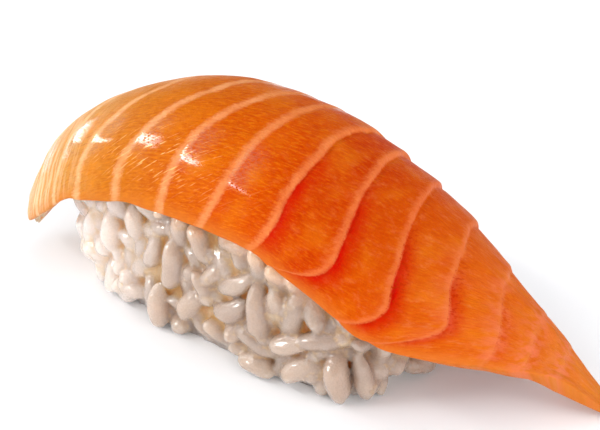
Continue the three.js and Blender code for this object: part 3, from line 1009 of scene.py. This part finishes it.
        flake = np.floor(w)
        s, c = t * self.section_step, v * self.girth
        level = np.zeros_like(s)
        turn, lean = math.cos(self.highlight_streak_turn), math.sin(self.highlight_streak_turn)
        places = {
            "flesh": (s, c - self.fibre_lean * s, level),
            "highlight_streak_place": (s * turn + c * lean, c * turn - s * lean, level),
        }
        for name, parts in places.items():
            store(thing, name, np.stack([with_caps(part) for part in parts], axis=-1))
        groove = self.line_field("groove", flake)
        foot = 1 - self.shoulder_loss * eased(-v, *self.shoulder_foot)
        numbers = {
            "highlight_streaked": hump(t, *self.highlight_streaked[0]) * hump(v, *self.highlight_streaked[1]),
            "pitted": hump(t, *self.pitted[0]) * hump(v, *self.pitted[1]),
            "along": t / self.last,
            "past_line": gaps[0],
            "line_gap": np.minimum(gaps[1], gaps[0] * (1 + self.groove_shade * groove)),
            "hem": np.abs(v),
            "shoulder": eased(-v, *self.shoulder_front) * foot,
            "groove": groove,
            "fat_width": self.line_field("width", flake + 1),
        }
        for name, values in numbers.items():
            store(thing, name, with_caps(values))


# ---- The rice ------------------------------------------------------------------------------------


@dataclass
class RiceBlock:
    """The outline of the pressed block, which the grains are held in."""

    x: float = -0.9
    y: float = 0.9
    tail_half: float = 24.3
    blunt_half: float = 25.9
    blunt_flare: float = 0.27
    half_width: float = 13.1
    turn: float = -0.14
    widest_at: float = 5.0
    side_narrowing: float = 0.025
    end_narrowing: float = 0.01
    squareness: float = 0.3
    inset: float = 1.7

    def __post_init__(self) -> None:
        """Works out the turn's two parts."""
        self.cosine = 1 / math.sqrt(1 + self.turn**2)
        self.sine = self.turn * self.cosine

    def to_block(self, x: float | Array, y: float | Array) -> tuple[Any, Any]:
        """Turns a place into the block's own directions."""
        dx, dy = x - self.x, y - self.y
        return dx * self.cosine + dy * self.sine, dy * self.cosine - dx * self.sine

    def from_block(self, u: float, v: float) -> tuple[float, float]:
        """Turns a place in the block's own directions back."""
        return self.x + u * self.cosine - v * self.sine, self.y + u * self.sine + v * self.cosine

    def half_sizes(self, u: float, z: float) -> tuple[float, float]:
        """Reads the block's half length and half width at a level.

        Args:
            u: Place along the block, whose sign picks the end.
            z: Height over the table.

        Returns:
            The half length and half width.
        """
        level = (z - self.widest_at) / self.widest_at
        half = self.blunt_half + self.blunt_flare * z if u < 0 else self.tail_half
        length = half * (1 - self.end_narrowing * level**2)
        return length, self.half_width * (1 - self.side_narrowing * level**2)

    def rule(self, p: float, q: float) -> float:
        """Reads the outline's squarish rule: 1 on the side, less inside."""
        return p**4 + q**4 + self.squareness * p**2 * q**2

    def side(self, x: float, y: float, z: float) -> tuple[float, float, float]:
        """Finds how far a point is out of the block's side.

        Args:
            x: Place along the table.
            y: Place across it.
            z: Height over it.

        Returns:
            The distance, negative inside, and the straight way out.
        """
        u, v = self.to_block(x, y)
        length, width = self.half_sizes(u, z)
        p, q = u / length, v / width
        root = math.sqrt(math.sqrt(self.rule(p, q)))
        slope_u = (4 * p**3 + 2 * self.squareness * p * q**2) / length
        slope_v = (4 * q**3 + 2 * self.squareness * p**2 * q) / width
        steepness = math.sqrt(slope_u**2 + slope_v**2)
        away = (root - 1) * 4 * root**3 / steepness
        out_u, out_v = slope_u / steepness, slope_v / steepness
        return (
            away,
            out_u * self.cosine - out_v * self.sine,
            out_u * self.sine + out_v * self.cosine,
        )

    def depth(self, points: Array) -> Array:
        """Finds roughly how deep points lie inside the block's side.

        Args:
            points: The points.

        Returns:
            The depths, negative outside.
        """
        u, v = self.to_block(points[..., 0], points[..., 1])
        blunt = self.half_sizes(-1.0, points[..., 2])[0]
        tail, width = self.half_sizes(1.0, points[..., 2])
        root = self.rule(u / np.where(u < 0, blunt, tail), v / width) ** 0.25
        return (1 - root) * width

    def spot(self, place: float, z: float, inset: float) -> tuple[float, float]:
        """Finds a point of the outline, spread evenly round a rectangle.

        Args:
            place: From 0 to 1 round the block.
            z: Height over the table.
            inset: How far inside the outline.

        Returns:
            The point.
        """
        corner = self.half_width / (self.half_width + self.tail_half)
        lap = (place * 2) % 1
        flip = 1 if place < 0.5 else -1
        p = 1 if lap < corner else 1 - 2 * (lap - corner) / (1 - corner)
        q = 2 * lap / corner - 1 if lap < corner else 1
        length, width = self.half_sizes(flip * p, z)
        reach = 1 / math.sqrt(math.sqrt(self.rule(p, q)))
        reach *= flip
        return self.from_block(p * reach * (length - inset), q * reach * (width - inset))


@dataclass
class Grain:
    """One grain of rice: its middle, the way it lies, its size and how far it stands proud."""

    centre: Array
    axis: Array
    half: float
    radius: float
    proud: float
    fixed: bool = False

    @property
    def spine(self) -> float:
        """Half the length of the line inside the grain from which its side is one radius away."""
        return self.half - self.radius


@dataclass(frozen=True)
class CookedRice(Moist):
    """Cooked rice: off-white and moist, with a painted warm glow in the gaps and joints between
    grains, painted light at the blunt end and painted orange light under the slice.
    """

    # Painted light: the paler colour of the brightly lit blunt end.
    pale: Colour = srgb(238, 222, 213)
    light: Colour = srgb(175, 153, 137)
    grey: Colour = srgb(158, 137, 123)
    # Painted light: a warm amber glow standing in for light scattered into the gaps and joints
    # between the grains.
    painted_gap_light: Colour = srgb(224, 186, 122)
    # Painted light: a warm orange glow on the grains just under the slice.
    painted_slice_light: Colour = srgb(246, 188, 146)
    roughness: float = 0.2
    coat_roughness: float = 0.06
    coat_ior: float = 1.7
    specular: float = 0.5
    scatter: float = 1.0
    scatter_reach: float = 7.0
    scatter_colour: Colour = (1.0, 0.85, 0.7)
    skin_depth: float = 0.16

    cloud: Pattern = Pattern((0.6, 0.6, 0.6))
    skin: Pattern = Pattern((0.8, 2.4, 2.4), 3.0, 0.6)
    wet: Pattern = Pattern((4.5, 4.5, 4.5), 2.0)

    greyer: Ease = Ease(0.2, 0.9)
    painted_lit_end: Ease = Ease(0.5, 0.0)
    painted_light_in_gaps: Ease = Ease(0.7, 1.9)
    gaps_by_end: Pair = (0.9, 0.7)
    painted_light_in_joints: Ease = Ease(0.25, 1.1, 0.35)
    under_slice: Ease = Ease(3.0, 0.0, 0.55)
    wet_spots: Ease = Ease(0.44, 0.54)
    cloud_roughness: float = 0.3
    tone_mix: Pair = (0.6, 0.5)
    wet_mix: Pair = (0.3, 0.7)
    relief_mix: Pair = (0.5, 0.5)

    def material(self) -> bpy.types.Material:
        """Makes the finish.

        Returns:
            The material.
        """
        bench = Bench("cooked_rice")
        place = bench.attribute("grain_place", "Vector")
        cloud = bench.noise(place, self.cloud)
        skin = bench.noise(place, self.skin)
        wet = bench.noise(place, self.wet)
        # Painted light at the blunt end, fading out towards the middle.
        painted_lit_end = bench.attribute("along").shown(self.painted_lit_end)
        hollow = bench.attribute("depth").shown(self.painted_light_in_gaps)
        greyer = mixed(self.tone_mix, bench.attribute("tone"), cloud).shown(self.greyer)
        colour = bench.layered(self.light, (
            (greyer, self.grey),
            (painted_lit_end, self.pale),
            # Painted light: warm amber in the deep gaps and the joints between grains.
            (hollow * (self.gaps_by_end[0] - self.gaps_by_end[1] * painted_lit_end), self.painted_gap_light),
            (bench.attribute("joint").shown(self.painted_light_in_joints), self.painted_gap_light),
            # Painted light on the grains just under the slice.
            (bench.attribute("headroom").shown(self.under_slice), self.painted_slice_light),
        ))
        return bench.finish({
            "Base Color": colour,
            "Roughness": self.roughness + self.cloud_roughness * (cloud - 0.5),
            "Coat Weight": mixed(self.wet_mix, skin, wet).shown(self.wet_spots),
            "Normal": bench.bump(mixed(self.relief_mix, skin, wet), self.skin_depth),
            **self.moisture(),
        })


def unit(vector: Array) -> Array:
    """Scales a vector to a length of one."""
    return vector / math.sqrt(float(vector @ vector))


@dataclass
class RiceHeap:
    """The grains of the block, packed by the same rule as the solid model's."""

    cover: SalmonSlice
    block: RiceBlock = field(default_factory=RiceBlock)
    gap: float = 0.3
    count: int = 139
    half_length: tuple[float, float] = (2.5, 3.2)
    radius: tuple[float, float] = (1.2, 1.5)
    outward_lean: float = 0.45
    upright_lean: float = 1.2
    roughness: float = 0.45
    overlap: float = 0.94
    turning: float = 0.3
    settling: float = 0.5
    passes: int = 70
    seed: int = 20241
    place_step: float = 0.7548776662466927
    height_step: float = 0.5698402909980532
    front: tuple[tuple[float, ...], ...] = (
        (-15.5, 9.2, 84, 5.6, 2.7, 0.3),
        (-11.1, 12.2, 96, 4.6, 2.4, 0.3),
        (-11.9, 2.2, 35, 5.7, 2.7, 0.3),
        (-8.0, 9.6, 70, 5.4, 2.2, 0.0),
        (-3.8, 14.0, 90, 4.8, 2.5, 0.2),
        (-0.4, 13.4, 117, 5.2, 2.7, 0.3),
        (-4.5, 9.2, 84, 6.8, 2.9, 0.5),
        (-6.3, 3.2, 88, 6.4, 2.6, 1.0),
        (5.3, 10.4, 35, 5.9, 2.2, 0.0),
        (5.1, 7.3, 34, 5.9, 2.6, 0.4),
        (9.1, 8.6, -83, 7.2, 2.9, 0.7),
        (8.6, 4.2, -22, 5.6, 2.5, 0.1),
        (8.9, 1.4, -4, 5.0, 2.4, 0.8),
        (13.3, 6.0, 21, 5.2, 2.6, 0.5),
        (13.4, 9.4, 75, 4.8, 2.4, 0.1),
        (14.6, 2.8, 35, 5.9, 2.8, 0.5),
        (16.9, 7.6, 17, 5.9, 2.4, 0.2),
        (19.0, 3.3, -84, 6.6, 3.1, 1.2),
        (21.3, 3.6, -80, 6.4, 2.5, 0.4),
    )
    inner_count: int = 260
    inner_inset: float = 2.5
    inner_start: Pair = (0.37, 0.61)
    inner_rise: float = 0.8
    touching: float = 1.2
    under_samples: int = 4001
    thinnest: float = 0.01
    margin: float = 1.0
    core_inset: float = 1.7
    voxel: float = 0.3
    low: tuple[float, float, float] = (-35.0, -19.0, -1.5)
    high: tuple[float, float, float] = (31.0, 20.0, 25.5)
    stickiness: float = 0.17
    end_stickiness: float = 0.38
    sticky_end: Pair = (-32.0, -12.0)
    # No painted gap light near the table.
    gap_light_free_foot: Pair = (0.5, 3.5)
    pattern_shift: float = 50.0
    bend: float = 0.22
    flatness: Pair = (0.84, 0.98)
    taper: float = 0.18
    dents: tuple[tuple[float, int, float], ...] = ((2.6, 1, 0.06), (4.1, 2, 0.04), (6.3, 1, 0.03))
    phases: float = 6.0
    chipped_end: Pair = (0.5, 0.95)
    chip_depth: float = 0.4
    bluntness: Pair = (2.1, 3.0)
    finish: CookedRice = field(default_factory=CookedRice)

    def random(self) -> Callable[[], float]:
        """Makes the source of random numbers, the same on every run.

        Returns:
            A function that draws the next number, from 0 to 1.
        """
        state = self.seed

        def draw() -> float:
            """Draws the next number, from 0 to 1."""
            nonlocal state
            state = (state * DRAW_FACTOR + DRAW_STEP) % DRAW_RANGE
            return state / DRAW_RANGE

        return draw

    def __post_init__(self) -> None:
        """Tabulates the underside of the slice, for quick reading."""
        places = np.linspace(0, self.cover.last, self.under_samples)
        self.under = self.cover.section(places)

    def ceiling(self, x: Array | float, y: Array | float) -> Array:
        """Finds where the slice's underside is over points of the rice.

        Args:
            x: Places along the table.
            y: Places across it.

        Returns:
            Heights over the table.
        """
        s = {name: np.interp(x, self.under["x"], values) for name, values in self.under.items()}
        front = y < s["y"]
        reach = np.where(front, s["front_reach"], s["back_reach"]) - self.cover.hem_thickness
        full_drop = np.where(front, s["front_drop"], s["back_drop"])
        drop = full_drop - s["depth"] * (1 - s["upright"])
        share = np.clip(np.abs(y - s["y"]) / np.maximum(reach, self.thinnest), 0, 1)
        return s["z"] - s["depth"] - drop * (1 - np.sqrt(1 - share**2)) - self.gap

    def _front_grains(self) -> list[Grain]:
        """Lays the large front grains flat in the side of the block.

        Returns:
            The grains, which stay where they are.
        """
        grains = []
        for along, up, lean, long, wide, proud in self.front:
            length, width = self.block.half_sizes(along, up)
            p = along / length
            square = self.block.squareness * p * p
            q = math.sqrt((math.sqrt(square**2 + 4 * (1 - p**4)) - square) / 2)
            x, y = self.block.from_block(along, -q * (width - self.block.inset))
            _, nx, ny = self.block.side(x, y, up)
            level, rise = math.cos(math.radians(lean)), math.sin(math.radians(lean))
            axis = np.array([-ny * level, nx * level, rise])
            grains.append(Grain(np.array([x, y, up]), axis, long / 2, wide / 2, proud, True))
        return grains

    def _scattered(self, draw: Callable[[], float]) -> list[Grain]:
        """Spreads the other grains evenly round the block and up to the slice.

        Args:
            draw: The source of random numbers.

        Returns:
            The grains.
        """
        grains = []
        for number in range(self.count):
            place = (number * self.place_step) % 1
            wall = self.block.spot(place, self.block.widest_at, self.block.inset)
            z = float(self.ceiling(*wall)) * ((number * self.height_step) % 1)
            x, y = self.block.spot(place, z, self.block.inset)
            _, nx, ny = self.block.side(x, y, z)
            sideways = 2 * draw() - 1
            upward = self.upright_lean * (2 * draw() - 1)
            outward = self.outward_lean * (2 * draw() - 1)
            lie = [nx * outward - ny * sideways, nx * sideways + ny * outward, upward]
            axis = unit(np.array(lie))
            ranges = (self.half_length, self.radius)
            half, radius = (low + (high - low) * draw() for low, high in ranges)
            proud = self.roughness * (2 * draw() - 1)
            grains.append(Grain(np.array([x, y, z]), axis, half, radius, proud))
        return grains

    def _push(self, grain: Grain, place: float, push: Array) -> None:
        """Moves a grain and turns it a little, as a push at a place on its spine would.

        Args:
            grain: The grain.
            place: Where on its spine.
            push: The push.
        """
        if not grain.fixed:
            grain.centre = grain.centre + push
            grain.axis = unit(grain.axis + self.turning * place / grain.half**2 * push)

    def _separate(self, one: Grain, two: Grain) -> None:
        """Pushes two grains apart where they overlap too far.

        Args:
            one: The first grain.
            two: The second grain.
        """
        gap = one.centre - two.centre
        along = float(one.axis @ two.axis)
        on_one, on_two = float(one.axis @ gap), float(two.axis @ gap)
        square = 1 - along * along
        s = 0.0
        if square > TINY:
            s = min(max((along * on_two - on_one) / square, -one.spine), one.spine)
        t = min(max(along * s + on_two, -two.spine), two.spine)
        s = min(max(along * t - on_one, -one.spine), one.spine)
        apart = gap + s * one.axis - t * two.axis
        distance = math.sqrt(float(apart @ apart))
        wanted = self.overlap * (one.radius + two.radius)
        if distance >= wanted or distance < TINY:
            return
        share = (1 if one.fixed or two.fixed else 0.5) * (wanted - distance) / distance
        self._push(one, s, apart * share)
        self._push(two, t, -apart * share)

    def _hold(self, grain: Grain) -> None:
        """Holds a grain at the side of the block, over the table and under the slice.

        Args:
            grain: The grain.
        """
        away, nx, ny = self.block.side(*grain.centre)
        facing = abs(nx * grain.axis[0] + ny * grain.axis[1])
        shift = self.settling * (grain.proud - grain.radius - grain.spine * facing - away)
        grain.centre = grain.centre + np.array([shift * nx, shift * ny, 0.0])
        rise = grain.radius + grain.spine * abs(grain.axis[2])
        ceiling = float(self.ceiling(grain.centre[0], grain.centre[1])) - rise
        if ceiling < rise:
            grain.axis = unit(grain.axis * np.array([1, 1, self.settling]))
        grain.centre[2] = max(min(grain.centre[2], ceiling), rise)

    def _settle(self, grains: list[Grain], passes: int) -> None:
        """Lets the grains settle against each other.

        Args:
            grains: The grains, changed in place.
            passes: How often they are pushed apart.
        """
        halves = np.array([grain.half for grain in grains])
        near = (halves[:, None] + halves[None, :]) ** 2
        for _ in range(passes):
            for i, one in enumerate(grains[:-1]):
                centres = np.array([grain.centre for grain in grains[i + 1 :]])
                away = ((centres - one.centre) ** 2).sum(axis=1)
                for j in np.nonzero(away < near[i, i + 1 :] * self.touching)[0]:
                    two = grains[i + 1 + j]
                    between = one.centre - two.centre
                    if float(between @ between) < near[i, i + 1 + j]:
                        self._separate(one, two)
            for grain in grains:
                self._hold(grain)

    def pack(self) -> list[Grain]:
        """Packs the grains that show on the sides of the block.

        Returns:
            The grains.
        """
        grains = self._front_grains() + self._scattered(self.random())
        self._settle(grains, self.passes)
        return grains

    def pack_inner(self) -> list[Grain]:
        """Places the grains that show in the gaps between the outer ones.

        Returns:
            The grains.
        """
        draw = np.random.default_rng(self.seed)
        grains = []
        low = self.radius[1]
        for number in range(self.inner_count):
            place = (number * self.place_step + self.inner_start[0]) % 1
            share = (number * self.height_step + self.inner_start[1]) % 1
            wall = self.block.spot(place, self.block.widest_at, self.inner_inset)
            z = low + (float(self.ceiling(*wall)) - low - low) * share
            x, y = self.block.spot(place, z, self.inner_inset)
            axis = unit(draw.normal(size=3) * np.array([1, 1, self.inner_rise]))
            half, radius = draw.uniform(*self.half_length), draw.uniform(*self.radius)
            grains.append(Grain(np.array([x, y, z]), axis, half, radius, 0.0))
        return grains

    def _out_of_grain(self, grain: Grain, local: Array, draw: np.random.Generator) -> Array:
        """Measures how far points are out of one plump, bent, tapered and softly dented grain.

        Args:
            grain: The grain.
            local: The points along and across the grain, from its middle.
            draw: The source of random numbers.

        Returns:
            The distances, negative inside.
        """
        place = local[..., 0] / grain.half
        bend = draw.uniform(-self.bend, self.bend) * grain.radius
        side = local[..., 1] - bend * (1 - 2 * place**2)
        height = local[..., 2] / draw.uniform(*self.flatness)
        turn = np.arctan2(height, side)
        radius = grain.radius * (1 + draw.uniform(-self.taper, self.taper) * place)
        for waves, bumps, depth in self.dents:
            first, second = draw.uniform(0, self.phases, 2)
            dent = np.sin(waves * place + first) * np.cos(bumps * turn + second)
            radius = radius * (1 + depth * dent)
        facing = np.maximum(0, np.cos(turn - draw.uniform(0, self.phases)))
        radius = radius * (1 - self.chip_depth * eased(place, *self.chipped_end) * facing)
        along = np.abs(place) ** draw.uniform(*self.bluntness)
        return (np.sqrt(along + (side**2 + height**2) / radius**2) - 1) * grain.radius

    def _fuse(self, grains: list[Grain]) -> tuple[Array, Array, Array, Array]:
        """Sticks the grains and the core together where they touch.

        Args:
            grains: The grains.

        Returns:
            The heap's points and faces, and each point's nearest grain and depth in a joint.
        """
        axes = [np.arange(low, high, self.voxel) for low, high in zip(self.low, self.high)]
        grid = np.stack(np.meshgrid(*axes, indexing="ij"), axis=-1)
        core = self.core_inset - self.block.depth(grid)
        past_end = eased(grid[..., 0], *self.sticky_end)
        sticky = self.end_stickiness + (self.stickiness - self.end_stickiness) * past_end
        total, nearest = np.exp(-core / sticky), core.copy()
        owner = np.zeros(core.shape, int)
        for number, grain in enumerate(grains):
            middle, reach = grain.centre - self.low, grain.half + self.margin
            start = ((middle - reach) / self.voxel).astype(int).clip(0)
            end = ((middle + reach) / self.voxel).astype(int) + 1
            box = tuple(slice(a, b) for a, b in zip(start, end))
            draw = np.random.default_rng(self.seed + number)
            local = (grid[box] - grain.centre) @ self._frame_of(grain, draw)
            out = self._out_of_grain(grain, local, draw)
            total[box] += np.exp(-out / sticky[box])
            owner[box] = np.where(out < nearest[box], number, owner[box])
            nearest[box] = np.minimum(nearest[box], out)
        fused = -sticky * np.log(total)
        joint = (nearest - fused) / sticky
        lid = grid[..., 2] - self.ceiling(grid[..., 0], grid[..., 1])
        solid = np.maximum(np.maximum(fused, lid), -grid[..., 2])
        volume = openvdb.FloatGrid()
        volume.copyFromArray(solid)
        corners, faces = volume.convertToQuads()
        at = tuple(np.rint(corners).astype(int).T)
        return corners * self.voxel + self.low, faces, owner[at], joint[at]

    @staticmethod
    def _frame_of(grain: Grain, draw: np.random.Generator) -> Array:
        """Turns a grain's length and two ways across it into the columns of a table."""
        across = unit(np.cross(grain.axis, draw.normal(size=3)))
        return np.stack([grain.axis, across, np.cross(grain.axis, across)], axis=1)

    def build(self) -> bpy.types.Object:
        """Builds and dresses the rice.

        Returns:
            The object.
        """
        grains = self.pack() + self.pack_inner()
        points, faces, owner, joint = self._fuse(grains)
        thing = make_mesh("rice_grains", points, faces[:, ::-1], self.finish.material())
        draws = [np.random.default_rng(self.seed + number) for number in range(len(grains))]
        frames = np.array([self._frame_of(grain, draw) for grain, draw in zip(grains, draws)])
        centres = np.array([grain.centre for grain in grains])
        shifts = np.random.default_rng(self.seed).uniform(0, self.pattern_shift, (len(grains), 4))
        local = np.einsum("nk,nkj->nj", points - centres[owner], frames[owner])
        x, y, z = points.T
        numbers = {
            "grain_place": local + shifts[owner, :3],
            "tone": shifts[owner, 3] / self.pattern_shift,
            "joint": joint,
            # How deep a point lies, which sets the painted gap light.
            "depth": self.block.depth(points) * eased(z, *self.gap_light_free_foot),
            "along": (x - x.min()) / np.ptp(x),
            "headroom": self.ceiling(x, y) - z,
        }
        for name, values in numbers.items():
            store(thing, name, values)
        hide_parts("rice")
        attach(thing, "root")
        return thing


# ---- The studio ----------------------------------------------------------------------------------


def toward(azimuth: float, elevation: float) -> Vector:
    """Points away from the piece, at degrees from the front to the tail and over the table."""
    a, e = math.radians(azimuth), math.radians(elevation)
    return Vector((math.sin(a) * math.cos(e), -math.cos(a) * math.cos(e), math.sin(e)))


@dataclass(frozen=True)
class SoftBox:
    """A soft rectangular lamp that faces the piece."""

    name: str
    azimuth: float
    elevation: float
    distance: float
    width: float
    height: float
    power: float
    tint: Colour = (1.0, 1.0, 1.0)
    roll: float = 0.0
    in_gloss: bool = True

    def build(self) -> None:
        """Places the lamp."""
        lamp = bpy.data.lights.new(self.name, "AREA")
        lamp.shape = "RECTANGLE"
        lamp.size, lamp.size_y = self.width, self.height
        lamp.energy = self.power
        lamp.color = self.tint
        thing = add_object(self.name, lamp)
        way = toward(self.azimuth, self.elevation)
        thing.location = way * self.distance
        turn = Quaternion((0.0, 0.0, 1.0), math.radians(self.roll))
        thing.rotation_euler = (way.to_track_quat("Z", "Y") @ turn).to_euler()
        thing.visible_glossy = self.in_gloss


@dataclass
class Studio:
    """A pale table, soft lamps and the camera."""

    azimuth: float = 33.0
    elevation: float = 30.0
    distance: float = 190.0
    target: tuple[float, float, float] = (-2.0, 9.4, 8.0)
    lens: float = 91.2
    sensor: float = 36.0
    clip_start: float = 0.005
    floor_half: float = 2.0
    floor_colour: Colour = (0.92, 0.935, 0.96)
    floor_roughness: float = 0.9
    floor_specular: float = 0.1
    room_light: float = 0.55
    lamps: tuple[SoftBox, ...] = (
        SoftBox("key", -70.0, 34.0, 0.6, 0.86, 0.05, 1.55, (1.0, 0.98, 0.95), 43.0),
        SoftBox("side", -104.0, 14.0, 0.6, 0.2, 0.2, 0.9),
        SoftBox("overhead", 160.0, 66.0, 0.8, 0.4, 0.3, 0.5),
        SoftBox("tail_side", 85.0, 38.0, 0.7, 0.5, 0.5, 1.9, in_gloss=False),
        SoftBox("front", 50.0, 18.0, 0.8, 0.6, 0.3, 3.0, in_gloss=False),
        SoftBox("sparkle", -45.0, 17.0, 0.5, 0.13, 0.13, 1.0),
    )

    def build(self) -> None:
        """Sets up the table, the lamps, the room's light and the camera."""
        self._floor()
        for lamp in self.lamps:
            lamp.build()
        self._room()
        self._camera()

    def _floor(self) -> None:
        """Lays the table top."""
        bench = Bench("pale_table")
        bench.finish({
            "Base Color": self.floor_colour,
            "Roughness": self.floor_roughness,
            "Specular IOR Level": self.floor_specular,
        })
        half = self.floor_half
        corners = [(-half, -half, 0), (half, -half, 0), (half, half, 0), (-half, half, 0)]
        mesh = bpy.data.meshes.new("table")
        mesh.from_pydata(corners, [], [(0, 1, 2, 3)])
        mesh.materials.append(bench.material)
        add_object("table", mesh)

    def _room(self) -> None:
        """Sets the light of the room and how colours are shown."""
        world = bpy.data.worlds.new("room")
        world.use_nodes = True
        background = world.node_tree.nodes["Background"]
        background.inputs["Color"].default_value = (1.0, 1.0, 1.0, 1.0)
        background.inputs["Strength"].default_value = self.room_light
        bpy.context.scene.world = world
        bpy.context.scene.view_settings.view_transform = "Standard"

    def _camera(self) -> None:
        """Places the camera."""
        lens = bpy.data.cameras.new("camera")
        lens.lens, lens.sensor_width = self.lens, self.sensor
        lens.clip_start = self.clip_start
        camera = add_object("camera", lens)
        back = toward(self.azimuth, self.elevation)
        aim = Vector((np.array(self.target) - MIDDLE) * MM)
        camera.location = aim + back * self.distance * MM
        camera.rotation_euler = back.to_track_quat("Z", "Y").to_euler()
        bpy.context.scene.camera = camera


def main() -> None:
    """Builds the piece and the studio, and reports each part."""
    logging.basicConfig(level=logging.INFO, format="%(name)s: %(message)s")
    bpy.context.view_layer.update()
    salmon = SalmonSlice()
    pieces = [salmon.build(), RiceHeap(salmon).build()]
    for piece in pieces:
        LOG.info("%s: %d faces", piece.name, len(piece.data.polygons))
    Studio().build()


if __name__ == "__main__":
    main()
